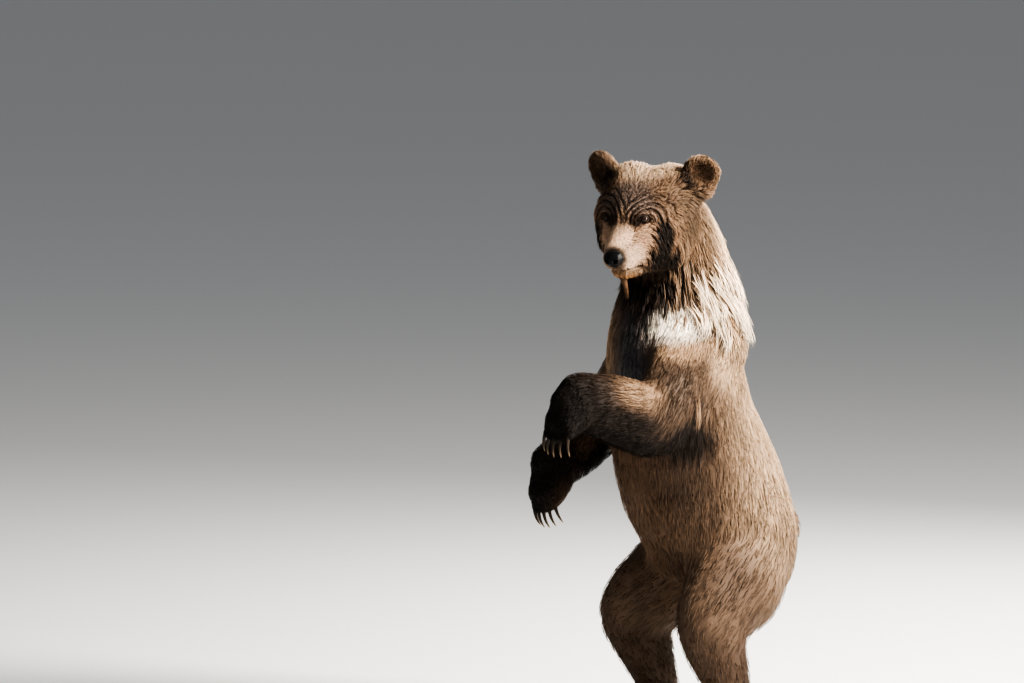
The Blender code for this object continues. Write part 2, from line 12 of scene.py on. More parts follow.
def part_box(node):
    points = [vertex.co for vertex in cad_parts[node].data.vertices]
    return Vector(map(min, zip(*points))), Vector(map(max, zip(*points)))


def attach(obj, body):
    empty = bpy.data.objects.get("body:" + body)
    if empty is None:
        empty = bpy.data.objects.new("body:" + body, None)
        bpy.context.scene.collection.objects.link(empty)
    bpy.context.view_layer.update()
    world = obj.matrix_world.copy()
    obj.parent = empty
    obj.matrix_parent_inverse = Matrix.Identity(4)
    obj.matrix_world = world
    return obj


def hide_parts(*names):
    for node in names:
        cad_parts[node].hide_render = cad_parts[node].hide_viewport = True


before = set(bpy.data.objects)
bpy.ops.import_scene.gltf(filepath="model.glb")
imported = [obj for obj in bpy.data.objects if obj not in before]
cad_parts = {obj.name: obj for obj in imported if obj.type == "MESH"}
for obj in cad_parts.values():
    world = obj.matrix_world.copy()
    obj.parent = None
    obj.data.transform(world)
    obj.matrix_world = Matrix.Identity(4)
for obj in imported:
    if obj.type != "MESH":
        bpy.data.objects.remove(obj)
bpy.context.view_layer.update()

MM = 0.001
SIDES = (("left", 1), ("right", -1))

# Colours of the coat, linear.
BLOND = np.array((0.55, 0.395, 0.260))
TAN = np.array((0.315, 0.203, 0.124))
BROWN = np.array((0.142, 0.084, 0.050))
DARK = np.array((0.045, 0.028, 0.019))
SOOT = np.array((0.014, 0.0090, 0.0065))
PALE = np.array((0.62, 0.435, 0.300))
RUST = np.array((0.38, 0.195, 0.085))
CREAM = np.array((0.95, 0.84, 0.70))
FAWN = np.array((0.305, 0.208, 0.143))
SMOKE = np.array((0.105, 0.073, 0.056))
SHADE_SLATE = np.array((0.042, 0.038, 0.039))


# ---------------------------------------------------------------- places

def middle(node):
    low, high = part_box(node)
    return (low + high) / 2


HEAD_DROP = radians(15.0)
EYE_PROUD = 0.004  # how far the eyes' middles lie before the head's origin
EYES = {side: middle(f"eye_{side}") for side, _ in SIDES}


def head_matrix():
    """Columns are the head's left, forward and up, with the origin between the eyes."""
    left = EYES["left"] - EYES["right"]
    left.z = 0
    left.normalize()
    level = left.cross(Vector((0, 0, 1)))
    forward = level * cos(HEAD_DROP) - Vector((0, 0, sin(HEAD_DROP)))
    matrix = Matrix((left, forward, forward.cross(left))).transposed().to_4x4()
    matrix.translation = (EYES["left"] + EYES["right"]) / 2 - forward * EYE_PROUD
    return matrix


HEAD = head_matrix()
HEAD_AXES = np.array(HEAD.to_3x3())
HEAD_ORIGIN = np.array(HEAD.translation)
HEAD_FLOOR = -0.2  # the neck begins below this height in the head's own axes
FINE_FLOOR = -0.17  # and above this one the skin is cut finer
EYE_ZONE = 0.026  # and finest within this distance of an eye
BROW_OUT = 0.060  # from the head's middle to the centre of each brow's rings
NOSE_SEAT = (0, 0.096, -0.073)
HEAD_BUILT = Vector((0.132, -0.3015, 1.411))  # the head's origin in the place where the solids were built
BUILT_FROM = HEAD.translation - HEAD_BUILT


def placed(x, y, z):
    """A point of the solids' building place, in the frame."""
    return np.array(BUILT_FROM + Vector((x, y, z)))


def to_head(points):
    return (points - HEAD_ORIGIN) @ HEAD_AXES


def from_head(points):
    return points @ HEAD_AXES.T + HEAD_ORIGIN


SHOULDER = {"left": placed(0.125, -0.075, 1.045), "right": placed(-0.112, -0.052, 1.035)}
ELBOW = {"left": placed(0.205, -0.254, 0.868), "right": placed(-0.230, -0.138, 0.808)}
WRIST = {"left": placed(0.200, -0.490, 0.950), "right": placed(-0.136, -0.338, 0.732)}
PAW = {"left": placed(0.198, -0.560, 0.884), "right": placed(-0.124, -0.384, 0.651)}
HIP = {"left": placed(0.105, 0.150, 0.455), "right": placed(-0.105, 0.150, 0.455)}
KNEE = {"left": placed(0.178, -0.070, 0.325), "right": placed(-0.178, -0.070, 0.325)}
ANKLE = {"left": placed(0.165, 0.032, 0.085), "right": placed(-0.165, 0.032, 0.085)}


# ---------------------------------------------------------------- helpers

def new_object(name, mesh):
    obj = bpy.data.objects.new(name, mesh)
    bpy.context.scene.collection.objects.link(obj)
    return obj


def from_bmesh(name, bm):
    mesh = bpy.data.meshes.new(name)
    bm.to_mesh(mesh)
    bm.free()
    return new_object(name, mesh)


def unit(vectors):
    return vectors / np.maximum(np.linalg.norm(vectors, axis=-1, keepdims=True), 1e-12)


def step(low, high, value):
    """0 below low, 1 above high and smooth between, with low over high for the reverse."""
    t = np.clip((value - low) / (high - low), 0.0, 1.0)
    return t * t * (3 - 2 * t)


def pulled(items, key, width, kind=float):
    out = np.empty(len(items) * width, kind)
    items.foreach_get(key, out)
    return out.reshape(-1, width)


def coordinates(mesh):
    return pulled(mesh.vertices, "co", 3)


def normals_of(mesh):
    return pulled(mesh.vertex_normals, "vector", 3)


def edges_of(mesh):
    return pulled(mesh.edges, "vertices", 2, np.int32)


def triangles_of(mesh):
    mesh.calc_loop_triangles()
    return pulled(mesh.loop_triangles, "vertices", 3, np.int32)


def put_back(mesh, co):
    mesh.vertices.foreach_set("co", co.ravel())
    mesh.update()


def own_layer(mesh, kind, name, key, values):
    """A value of the mesh's own at each vertex, for its material to read."""
    mesh.attributes.new(name, kind, "POINT").data.foreach_set(key, values.astype(np.float32).ravel())


def own_colour(mesh, rgb):
    layer = mesh.color_attributes.new("coat_colour", "FLOAT_COLOR", "POINT")
    rgba = np.concatenate([rgb, np.ones((len(rgb), 1))], axis=1)
    layer.data.foreach_set("color", rgba.astype(np.float32).ravel())


def relaxed(values, pairs, rounds, share=0.5):
    """Each vertex's values drawn towards its neighbours' mean, by a share that may vary."""
    values = values.astype(float)
    count = len(values)
    degree = np.bincount(pairs.ravel(), minlength=count).astype(float)
    share = np.broadcast_to(np.asarray(share, float), (count,))[:, None]
    for _ in range(rounds):
        mean = np.empty_like(values)
        for column in range(values.shape[1]):
            one = values[:, column]
            mean[:, column] = np.bincount(pairs[:, 0], one[pairs[:, 1]], count)
            mean[:, column] += np.bincount(pairs[:, 1], one[pairs[:, 0]], count)
        mean /= np.maximum(degree, 1)[:, None]
        values += (mean - values) * share
    return values


def merged_nodes(names):
    """Copies of the named solids in one mesh, and the name that each of its faces comes from."""
    whole = bmesh.new()
    faces = []
    for name in names:
        part = bmesh.new()
        part.from_mesh(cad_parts[name].data)
        bmesh.ops.remove_doubles(part, verts=part.verts, dist=1e-6)
        mesh = bpy.data.meshes.new("part")
        part.to_mesh(mesh)
        part.free()
        whole.from_mesh(mesh)
        faces += [name] * (len(whole.faces) - len(faces))
        bpy.data.meshes.remove(mesh)
    return whole, faces


# ---------------------------------------------------------------- skin

FLESH = ["chest", "neck", "head", "lower_jaw", "pelvis", "tail"]
PAIRED = ("ear", "upper_arm", "forearm", "forepaw", "thigh", "shin", "hind_foot")
FLESH += [f"{part}_{side}" for side, _ in SIDES for part in PAIRED]
SKIN_VOXEL = 0.006
DOWN = np.array((0.0, 0.0, -1.0))


def largest_island(bm):
    left, best = set(bm.verts), set()
    while left:
        queue = [left.pop()]
        island = set(queue)
        while queue:
            vertex = queue.pop()
            ring = {edge.other_vert(vertex) for edge in vertex.link_edges} - island
            island |= ring
            queue += ring
        left -= island
        best = max(best, island, key=len)
    bmesh.ops.delete(bm, geom=[v for v in bm.verts if v not in best], context="VERTS")


def subdivided(mesh, chosen):
    """Cuts every edge whose two ends are chosen into two."""
    bm = bmesh.new()
    bm.from_mesh(mesh)
    bm.verts.ensure_lookup_table()
    edges = [e for e in bm.edges if chosen[e.verts[0].index] and chosen[e.verts[1].index]]
    bmesh.ops.subdivide_edges(bm, edges=edges, cuts=1, use_grid_fill=True)
    bm.to_mesh(mesh)
    bm.free()


def base_skin():
    """The flesh solids, the eyes and the nose as one closed surface."""
    whole, _ = merged_nodes(FLESH + ["eye_left", "eye_right", "nose"])
    skin = from_bmesh("skin", whole)
    remesh = skin.modifiers.new("Remesh", "REMESH")
    remesh.mode = "VOXEL"
    remesh.voxel_size = SKIN_VOXEL
    graph = bpy.context.evaluated_depsgraph_get()
    mesh = bpy.data.meshes.new_from_object(skin.evaluated_get(graph))
    skin.modifiers.clear()
    skin.data = mesh
    bm = bmesh.new()
    bm.from_mesh(mesh)
    largest_island(bm)
    bm.to_mesh(mesh)
    bm.free()
    return skin


def smoothing(co):
    """How strongly a place is smoothed: the solids' facets go, and the ears, face and toes stay."""
    head = to_head(co)
    share = np.full(len(co), 0.6)
    share[head[:, 2] > HEAD_FLOOR] = 0.35
    share[(head[:, 1] > -0.03) & (head[:, 2] > HEAD_FLOOR) & (np.abs(head[:, 0]) < 0.14)] = 0.22
    for part, kept in (("ear", 0.12), ("forepaw", 0.05), ("hind_foot", 0.12)):
        for side, _ in SIDES:
            low, high = (np.array(v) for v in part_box(f"{part}_{side}"))
            share[((co > low - 0.008) & (co < high + 0.008)).all(axis=1)] = kept
    share[co[:, 2] < 0.012] = 0.0
    return share


class Skin:
    """The skin's mesh, with what the coat needs at each vertex and triangle."""


def paint(fields, where, **changes):
    """Draws the named fields towards new values by where, from 0 to 1."""
    for name, value in changes.items():
        old = fields[name]
        weight = where[:, None] if old.ndim == 2 else where
        fields[name] = old + (np.asarray(value, float) - old) * weight


def spot(points, centre, radii, soft=0.35):
    """1 inside an ellipsoid, 0 outside, over a soft rim."""
    distance = np.linalg.norm((points - np.asarray(centre)) / np.asarray(radii), axis=1)
    return step(1 + soft, 1 - soft, distance)


def joined_spots(points, sign, spots, origin=(0, 0, 0)):
    """Several soft ellipsoids as one, given for the left side and mirrored where sign is -1."""
    where = np.zeros(len(points))
    for centre, radii, soft in spots:
        where = np.maximum(where, spot(points, origin + np.multiply(centre, (sign, 1, 1)), radii, soft))
    return where


# The coat by part: its depth over the skin and its locks' length and width in millimetres;
# then clumping, lift and droop; then the colours at root and tip.
PARTS = {
    "head": (7, 19, 2.2, 0.45, 0.30, 0.15, BROWN * 0.75, BROWN * 1.65),
    "lower_jaw": (5, 15, 2.0, 0.5, 0.30, 0.50, BROWN * 0.9, TAN),
    "ear": (7, 17, 1.5, 0.25, 0.65, 0.00, BROWN * 0.9, TAN * 1.05),
    "neck": (15, 52, 2.8, 0.65, 0.34, 0.35, BROWN * 0.75, TAN * 0.68),
    "chest": (6, 32, 1.4, 0.25, 0.06, 0.15, BROWN * 0.85, FAWN * 0.31),
    "pelvis": (7, 36, 1.9, 0.35, 0.08, 0.20, BROWN * 0.80, FAWN * 0.36),
    "tail": (8, 34, 2.6, 0.5, 0.30, 0.30, BROWN, TAN * 0.8),
    "upper_arm": (6, 30, 1.4, 0.25, 0.06, 0.15, BROWN * 0.75, FAWN * 0.28),
    "forearm": (6, 22, 1.5, 0.35, 0.12, 0.20, DARK * 0.8, BROWN * 0.45),
    "forepaw": (2, 11, 1.6, 0.30, 0.08, 0.05, SOOT * 0.5, SOOT * 0.5),
    "thigh": (7, 34, 2.0, 0.35, 0.08, 0.20, BROWN * 0.66, FAWN * 0.24),
    "shin": (6, 24, 2.0, 0.40, 0.14, 0.15, DARK * 0.9, BROWN * 0.6),
    "hind_foot": (4, 12, 2.4, 0.35, 0.18, 0.05, SOOT, DARK * 0.9),
}


def part_of(label):
    return label.removesuffix("_left").removesuffix("_right")


def on(skin, *parts):
    return np.isin(skin.label, [i for i, name in enumerate(FLESH) if part_of(name) in parts])


def marker(fields):
    """A way to paint the fields within a soft ellipsoid."""
    def mark(points, centre, radii, soft=0.35, share=1.0, **changes):
        paint(fields, spot(points, centre, radii, soft) * share, **changes)
    return mark


def fields_of(skin):
    """The coat's measures and colours over the skin, blended from part to part, with its markings."""
    rows = [PARTS[part_of(name)] for name in FLESH]
    table = np.array([[*row[:6], *row[6], *row[7]] for row in rows])
    blended = relaxed(table[skin.label], skin.pairs, 30)
    fields = {name: blended[:, i] * MM for i, name in enumerate(("depth", "length", "width"))}
    fields |= {name: blended[:, i + 3] for i, name in enumerate(("clump", "lift", "droop"))}
    fields |= {"root": blended[:, 6:9], "tip": blended[:, 9:12]}
    mark_body(skin, fields)
    mark_head(skin, fields)
    mark_ears(skin, fields)
    paint(fields, step(0.02, 0.004, skin.co[:, 2]), length=0.006, depth=0.0008)
    return fields


def mark_body(skin, fields):
    """Blond nape and cape, pale back, patched flanks, and dark wet throat, belly and forelegs, with painted
    light and painted shade over the neck, chest, forelegs and armpits.
    """
    b, mark = skin.co, marker(fields)
    # The neck and shoulders: blond nape, a cape of long wet locks, and a dark throat with dark bands behind
    # the cheeks, wet fur darkened further by painted shade.
    mark(b, (0.03, 0.215, 1.36), (0.24, 0.13, 0.22), 0.4, root=TAN, tip=BLOND * 1.25, length=0.042,
         lift=0.60, clump=0.35, droop=0.2, width=0.0026)
    mark(b, (0.02, 0.17, 1.15), (0.26, 0.17, 0.115), root=BROWN * 1.1, tip=TAN * 1.5, length=0.065,
         lift=0.35, clump=0.85, depth=0.015, width=0.0034, droop=0.35)
    # Dark bands behind the cheeks: wet fur, partly painted shade.
    for x in (0.125, -0.110):
        mark(b, (x, -0.030, 1.225), (0.075, 0.064, 0.078), 0.4, root=SOOT * 0.8, tip=DARK * 0.8,
             length=0.060, clump=0.85, droop=0.75, depth=0.013, width=0.0030)
    # The dark throat under the head: wet fur, partly painted shade.
    mark(b, (0.03, -0.085, 1.21), (0.17, 0.085, 0.13), root=SOOT * 0.8, tip=DARK * 0.7,
         length=0.055, clump=0.92, droop=0.85, depth=0.012, width=0.0032)
    # The trunk: pale back, a painted highlight where it meets the cape, a cream patch each side over a paler
    # band, painted shade in slate on the chest, a painted highlight along the chest's far side, and a dark
    # belly.
    mark(b, (0.0, 0.28, 0.84), (0.30, 0.16, 0.42), 0.6, root=TAN * 0.85, tip=BLOND * 0.85)
    for x in (0.190, -0.175):
        # A painted highlight where the back meets the cape, laid over the cape's cast shadow.
        mark(b, (x, 0.110, 1.040), (0.075, 0.068, 0.085), 0.6, root=TAN * 0.9, tip=BLOND * 0.95)
        mark(b, (x, -0.035, 1.068), (0.095, 0.080, 0.030), 0.7, root=TAN * 0.8, tip=TAN * 1.35)
    for x in (0.150, -0.135):
        mark(b, (x, -0.035, 1.128), (0.075, 0.080, 0.042), 0.5, root=CREAM * 0.95, tip=CREAM,
             length=0.030, clump=0.3, droop=0.3, width=0.0018)
    # Painted shade on the chest, in slate grey.
    mark(b, (0.0, -0.14, 0.99), (0.115, 0.09, 0.17), 0.5, root=SHADE_SLATE * 1.5, tip=SHADE_SLATE * 2.8,
         length=0.034, clump=0.5)
    # A painted highlight along the far, right side of the chest.
    mark(b, (-0.085, -0.110, 1.06), (0.070, 0.06, 0.12), 0.8, root=TAN * 0.8, tip=TAN * 1.2)
    mark(b, (0.0, -0.12, 0.60), (0.20, 0.16, 0.26), root=DARK * 1.6, tip=BROWN * 1.1,
         length=0.040, clump=0.5, droop=0.5)

    # The forelegs: a painted highlight over the elbow's outer side, painted shade on the upper arm and under
    # the forearms, and wet fur darkened further by painted shade in the armpits.
    limb = relaxed(on(skin, "upper_arm", "forearm")[:, None], skin.pairs, 2)[:, 0]
    streaks = 0.26 * np.sin(b[:, 1] * 170 + b[:, 0] * 60) + 0.20 * np.sin(b[:, 1] * 330 - b[:, 0] * 140)
    for side, sign in SIDES:
        elbow, wrist = ELBOW[side], WRIST[side]
        reach = 1.0 if side == "left" else 0.75
        # Painted shade on the upper arm, above the elbow.
        mark(b, elbow + (0.045 * sign, 0.040, 0.080), (0.080, 0.085, 0.085), 0.5,
             root=BROWN * 0.5, tip=FAWN * 0.15)
        # A painted highlight on the forearm's top, by the elbow.
        mark(b, elbow + (0.050 * sign, -0.080, 0.10), (0.070, 0.068, 0.046), 0.6,
             root=BROWN * 1.15, tip=TAN * 0.92)
        mark(b, wrist + (0.0, -0.02, 0.0), (0.085, 0.095, 0.085), 0.5,
             root=SOOT * 0.5, tip=SOOT * 0.8)
        # Painted shade along each forearm's underside, below its axis.
        arm = wrist - elbow
        t = np.clip((b - elbow) @ arm / (arm @ arm), -0.4, 1.0)
        axis_height = (elbow + t[:, None] * arm)[:, 2]
        underside_shade = step(0.026, -0.016, b[:, 2] - axis_height) * limb
        mark(b, (elbow + wrist) / 2, (0.10, 0.21, 0.13), 0.3, underside_shade, root=SOOT * 0.7,
             tip=DARK * 0.28, length=0.026, droop=0.5, clump=0.6)
        # The armpits: wet fur darkened further by painted shade, their edges ragged with streaks.
        armpit_shade_and_wet = joined_spots(b, sign, (
            ((0.020, 0.090, -0.062), np.multiply((0.106, 0.132, 0.076), reach), 0.22),
            ((0.035, -0.040, -0.062), (0.060, 0.080, 0.040), 0.4),
            ((0.004, 0.128, 0.016), (0.055, 0.048, 0.050), 0.35)), elbow)
        mark(b, elbow + (-0.020 * sign, 0.100, -0.170), np.multiply((0.105, 0.120, 0.150), reach), 0.6, 0.8,
             root=DARK * 0.6, tip=BROWN * 0.32, clump=0.4)
        armpit_shade_and_wet = np.clip(armpit_shade_and_wet + streaks * 4 * armpit_shade_and_wet * (1 - armpit_shade_and_wet), 0, 1)
        paint(fields, armpit_shade_and_wet, root=SOOT * 0.7, tip=DARK * 0.3, length=0.034, droop=0.7, clump=0.85)
        mark(b, (0.02, HIP[side][1] - 0.12, 0.40), (0.09, 0.15, 0.22), root=DARK, tip=BROWN)


def mark_head(skin, fields):
    """Pale crown, smoky brow, dark bands from the eyes down and under the jaw, wet fur partly darkened by
    painted shade, and a pinkish muzzle.
    """
    h, mark = skin.head, marker(fields)
    on_head = step(-0.24, -0.20, h[:, 2])
    mark(h, (0, -0.145, 0.105), (0.13, 0.095, 0.055), 0.5, on_head, root=BROWN * 1.4,
         tip=BLOND * 0.72, length=0.018, lift=0.70, clump=0.35, width=0.0020)
    mark(h, (0, -0.030, 0.045), (0.10, 0.075, 0.050), 0.5, on_head, root=SMOKE * 0.45,
         tip=SMOKE * 1.15, length=0.012, depth=0.005, width=0.0014, lift=0.16, clump=0.45)
    for _, sign in SIDES:
        mark(h, (sign * 0.088, -0.082, 0.058), (0.046, 0.052, 0.040), 0.5,
             root=BROWN * 0.45, tip=BROWN * 0.85)
        mark(h, (sign * 0.125, -0.118, -0.02), (0.055, 0.066, 0.085), 0.4, root=BROWN * 0.45,
             tip=TAN * 0.36, length=0.030, clump=0.55, droop=0.40, depth=0.011, width=0.0022)
        mark(h, (sign * 0.062, 0.020, -0.055), (0.036, 0.036, 0.050), 0.45, root=BROWN * 1.5,
             tip=(0.35, 0.222, 0.146), length=0.009, depth=0.004, width=0.0016, clump=0.3, lift=0.2,
             droop=0.2)
        # Dark bands from behind the eyes down: wet fur, partly painted shade.
        wet = joined_spots(h, sign, (
            ((0.100, -0.010, -0.052), (0.040, 0.029, 0.072), 0.25),
            ((0.074, 0.008, -0.102), (0.022, 0.026, 0.040), 0.35),
            ((0.088, -0.045, -0.125), (0.055, 0.045, 0.045), 0.3),
            ((0.060, -0.095, -0.178), (0.075, 0.065, 0.050), 0.3)))
        paint(fields, wet, root=SOOT * 0.6, tip=DARK * 0.35, length=0.040, clump=0.9, droop=0.85,
              depth=0.008, width=0.0028)
    # Dark under the jaw: wet fur, partly painted shade.
    mark(h, (0, -0.03, -0.165), (0.10, 0.085, 0.050), root=SOOT, tip=DARK * 1.2, length=0.045,
         clump=0.9, droop=0.85)
    mark(h, (0, 0.050, -0.035), (0.034, 0.060, 0.034), 0.35, on_head, root=PALE * 0.80,
         tip=(0.70, 0.475, 0.325), length=0.0060, depth=0.0025, width=0.0011, lift=0.16, clump=0.2, droop=0.0)
    for _, sign in SIDES:
        mark(h, (sign * 0.032, 0.062, -0.082), (0.032, 0.048, 0.036), root=PALE * 0.50,
             tip=PALE * 0.72, length=0.0070, depth=0.003, width=0.0012, lift=0.18, clump=0.25,
             droop=0.25)
        mark(h, (sign * 0.034, 0.014, 0.000), (0.017, 0.026, 0.020), 0.4, root=DARK * 0.8,
             tip=DARK * 1.3, length=0.006)
    mark(h, (0, 0.020, 0.010), (0.014, 0.050, 0.020), 0.6, 0.6, root=BROWN, tip=TAN * 0.9)
    mark(h, (0, 0.060, -0.150), (0.045, 0.040, 0.030), root=RUST * 0.5, tip=RUST, length=0.014,
         clump=0.85, droop=0.8, depth=0.004, width=0.0016)
    eye_rim = [spot(h, (sign * 0.056, 0.002, 0.006), (0.019, 0.03, 0.0135), 0.3) for _, sign in SIDES]
    paint(fields, np.maximum(*eye_rim), root=SOOT, tip=DARK * 0.7, length=0.0045, depth=0.002,
          width=0.0012, lift=0.12, clump=0.2, droop=0.0)
    paint(fields, np.clip(skin.mouth * 1.6, 0, 1), root=SOOT * 0.6, tip=SOOT * 0.6, length=0.0028)
    mark(h, NOSE_SEAT, (0.036, 0.026, 0.031), 0.15, root=SOOT, tip=SOOT, length=0.003, depth=0.0035)


def mark_ears(skin, fields):
    """Painted shade in the ears' hollows and low in their fronts, with a pale fringe."""
    mark = marker(fields)
    forward = skin.normal @ HEAD_AXES[:, 1]
    # Painted shade where an ear's front is cupped.
    hollow_shade = (on(skin, "ear") & (forward > 0.35) & skin.cupped)[:, None].astype(float)
    hollow_shade = np.clip(relaxed(hollow_shade, skin.pairs, 3)[:, 0] * 1.3, 0, 1)
    paint(fields, hollow_shade, root=DARK, tip=BROWN * 1.1, length=0.012, lift=0.6)
    # Painted shade low in each ear's front.
    for _, sign in SIDES:
        mark(skin.head, (sign * 0.118, -0.125, 0.068), (0.026, 0.03, 0.030), 0.5,
             step(0.2, 0.5, forward), root=SOOT, tip=DARK * 0.8)


def flow_of(skin):
    """The lie of the coat over the skin, as unit vectors along the surface."""
    h = skin.head
    lines = {"neck": (0, 0.34, -1.0), "chest": (0, 0.10, -1.0), "pelvis": (0, 0.12, -1.0),
             "tail": (0, 0.35, -1.0), "head": DOWN, "lower_jaw": DOWN}
    for side, sign in SIDES:
        for part, start, end in (("upper_arm", SHOULDER, ELBOW), ("forearm", ELBOW, WRIST),
                                 ("forepaw", WRIST, PAW), ("thigh", HIP, KNEE), ("shin", KNEE, ANKLE)):
            lines[f"{part}_{side}"] = end[side] - start[side]
        lines[f"hind_foot_{side}"] = (0, -1.0, -0.35)
        lines[f"ear_{side}"] = HEAD_AXES @ (sign * 0.35, -0.15, 1.0)
    flow = unit(np.array([lines[name] for name in FLESH]))[skin.label]
    # On the head it runs back from the nose, and gravity draws it down the cheeks.
    away = unit(h - (0, 0.125, -0.060)) * (0.9, 1.0, 1.0)
    hang = step(0.045, 0.105, np.abs(h[:, 0])) * step(0.06, -0.04, h[:, 2]) + step(-0.09, -0.13, h[:, 2])
    local = away @ HEAD_AXES.T + DOWN * np.clip(hang, 0, 1)[:, None] * 1.1
    # Above the eyes it sweeps from the forehead's middle out and down round each eye.
    skin.sweep = np.zeros(len(h))
    for _, sign in SIDES:
        across, above = (h[:, 0] - sign * BROW_OUT) * sign, h[:, 2]
        reach = np.maximum(np.hypot(across, above), 1e-6)
        turn = np.stack([above * sign, 0 * above, -across], axis=1) / reach[:, None]
        ring = step(0.014, 0.024, reach) * step(0.085, 0.055, reach) * step(-0.25, 0.15, above / reach)
        ring *= step(-0.075, -0.035, h[:, 1]) * step(-0.070, -0.050, across)
        skin.sweep = np.maximum(skin.sweep, ring)
        local = local * (1 - ring[:, None]) + (turn @ HEAD_AXES.T) * ring[:, None] * 1.6
    is_head = on(skin, "head", "lower_jaw")
    flow[is_head] = unit(local)[is_head]
    flow = unit(relaxed(flow, skin.pairs, 10))
    flow -= skin.normal * (flow * skin.normal).sum(1, keepdims=True)
    return unit(relaxed(unit(flow), skin.pairs, 6))


BROW_RIDGE = 0.0118  # from one wet ridge over the eye to the next
EYE_BALL = 0.0115
EYE_SINK = 0.0085
EYE_RAISE = 0.0055
LID = 0.0017
OPENING = (0.0092, 0.0050, 0.0048)  # the eye's half length, then its half heights above and below


def eye_frame(side):
    """Centre, then the axes out of the eye, along its opening and up, for a deep-set eye."""
    sign = 1 if side == "left" else -1
    out = HEAD_AXES @ unit(np.array((0.60 * sign, 0.78, 0.18)))
    along = unit(np.cross(HEAD_AXES @ (0, 0.12, 1.0), out)) * sign
    up = unit(np.cross(out, along)) * sign
    centre = np.array(EYES[side]) - out * EYE_SINK + HEAD_AXES[:, 2] * EYE_RAISE
    return centre, out, along, up


def lidded(co, side):
    """Draws the skin round an eye into two lids over the ball, open in an almond."""
    centre, out, along, up = eye_frame(side)
    d = co - centre
    depth = d @ out
    x, y = d @ along, d @ up
    y = y - 0.10 * x
    radius = np.hypot(x, y)
    near = (radius < 0.030) & (depth > -0.012) & (depth < 0.035)
    high = np.where(y > 0, OPENING[1], OPENING[2])
    opening = (np.abs(x) / OPENING[0]) ** 1.7 + (np.abs(y) / high) ** 1.7
    lid_radius = EYE_BALL + LID
    # The lids lie over the ball with a raised rim, sink within the opening, and fold in a crease above.
    dome = np.sqrt(np.maximum(lid_radius ** 2 - np.minimum(radius, 0.0118) ** 2, 1e-9))
    dome += 0.0012 * np.exp(-((opening - 1.35) / 0.35) ** 2)
    target = dome - 0.0050 * step(1.05, 0.86, opening)
    crease = -0.0012 * np.exp(-((radius - 0.0155) / 0.0016) ** 2) * (y > 0)
    blend = step(0.0235, 0.0115, radius)
    new = depth * (1 - blend) + target * blend + crease
    moved = co + out * (new - depth)[:, None]
    return np.where(near[:, None], moved, co)


def mouth_mask(co, head):
    """1 along the line where the lips meet, over a few millimetres."""
    mask = np.zeros(len(co))
    near = np.flatnonzero((head[:, 1] > -0.02) & (head[:, 2] > -0.145) & (head[:, 2] < -0.09))
    trees = []
    for name in ("head", "lower_jaw"):
        part, _ = merged_nodes([name])
        trees.append(BVHTree.FromBMesh(part))
        part.free()
    for i in near:
        point = Vector(co[i])
        apart = trees[0].find_nearest(point)[3] - trees[1].find_nearest(point)[3]
        mask[i] = np.exp(-(apart / 0.0042) ** 2)
    return mask * step(-0.012, 0.006, head[:, 1])


def fine_mesh(mesh):
    """Smooths the solids' facets away and cuts the head's faces finer, and the eyes' finest."""
    co = relaxed(coordinates(mesh), edges_of(mesh), 22, smoothing(coordinates(mesh)))
    put_back(mesh, co)
    head = to_head(co)
    subdivided(mesh, (head[:, 2] > FINE_FLOOR) & (head[:, 1] > -0.23) & (np.abs(head[:, 0]) < 0.22))
    for _ in range(2):
        co = coordinates(mesh)
        apart = [np.linalg.norm(co - np.array(EYES[side]), axis=1) for side, _ in SIDES]
        subdivided(mesh, np.minimum(*apart) < EYE_ZONE)
    co = coordinates(mesh)
    co = relaxed(co, edges_of(mesh), 3, 0.4 * (to_head(co)[:, 2] > FINE_FLOOR))
    put_back(mesh, co)
    return co


def relief_of(skin, h):
    """How far places stand out: the brows' wet ridges, the furrow between, the lips and the nose's seat."""
    ridge = np.zeros(len(h))
    for _, sign in SIDES:
        reach = np.hypot(h[:, 0] - sign * BROW_OUT, h[:, 2])
        ridge = np.where(h[:, 0] * sign > 0, np.cos(reach / BROW_RIDGE * 2 * pi), ridge)
    skin.ridge = ridge * skin.sweep
    push = skin.ridge * 0.0016
    furrow = step(-0.015, 0.01, h[:, 2]) * step(0.10, 0.06, h[:, 2]) * step(-0.08, -0.04, h[:, 1])
    push -= 0.0028 * np.exp(-(h[:, 0] / 0.006) ** 2) * furrow
    push -= 0.0045 * skin.mouth
    return push - 0.004 * spot(h, NOSE_SEAT, (0.032, 0.024, 0.027), 0.1)


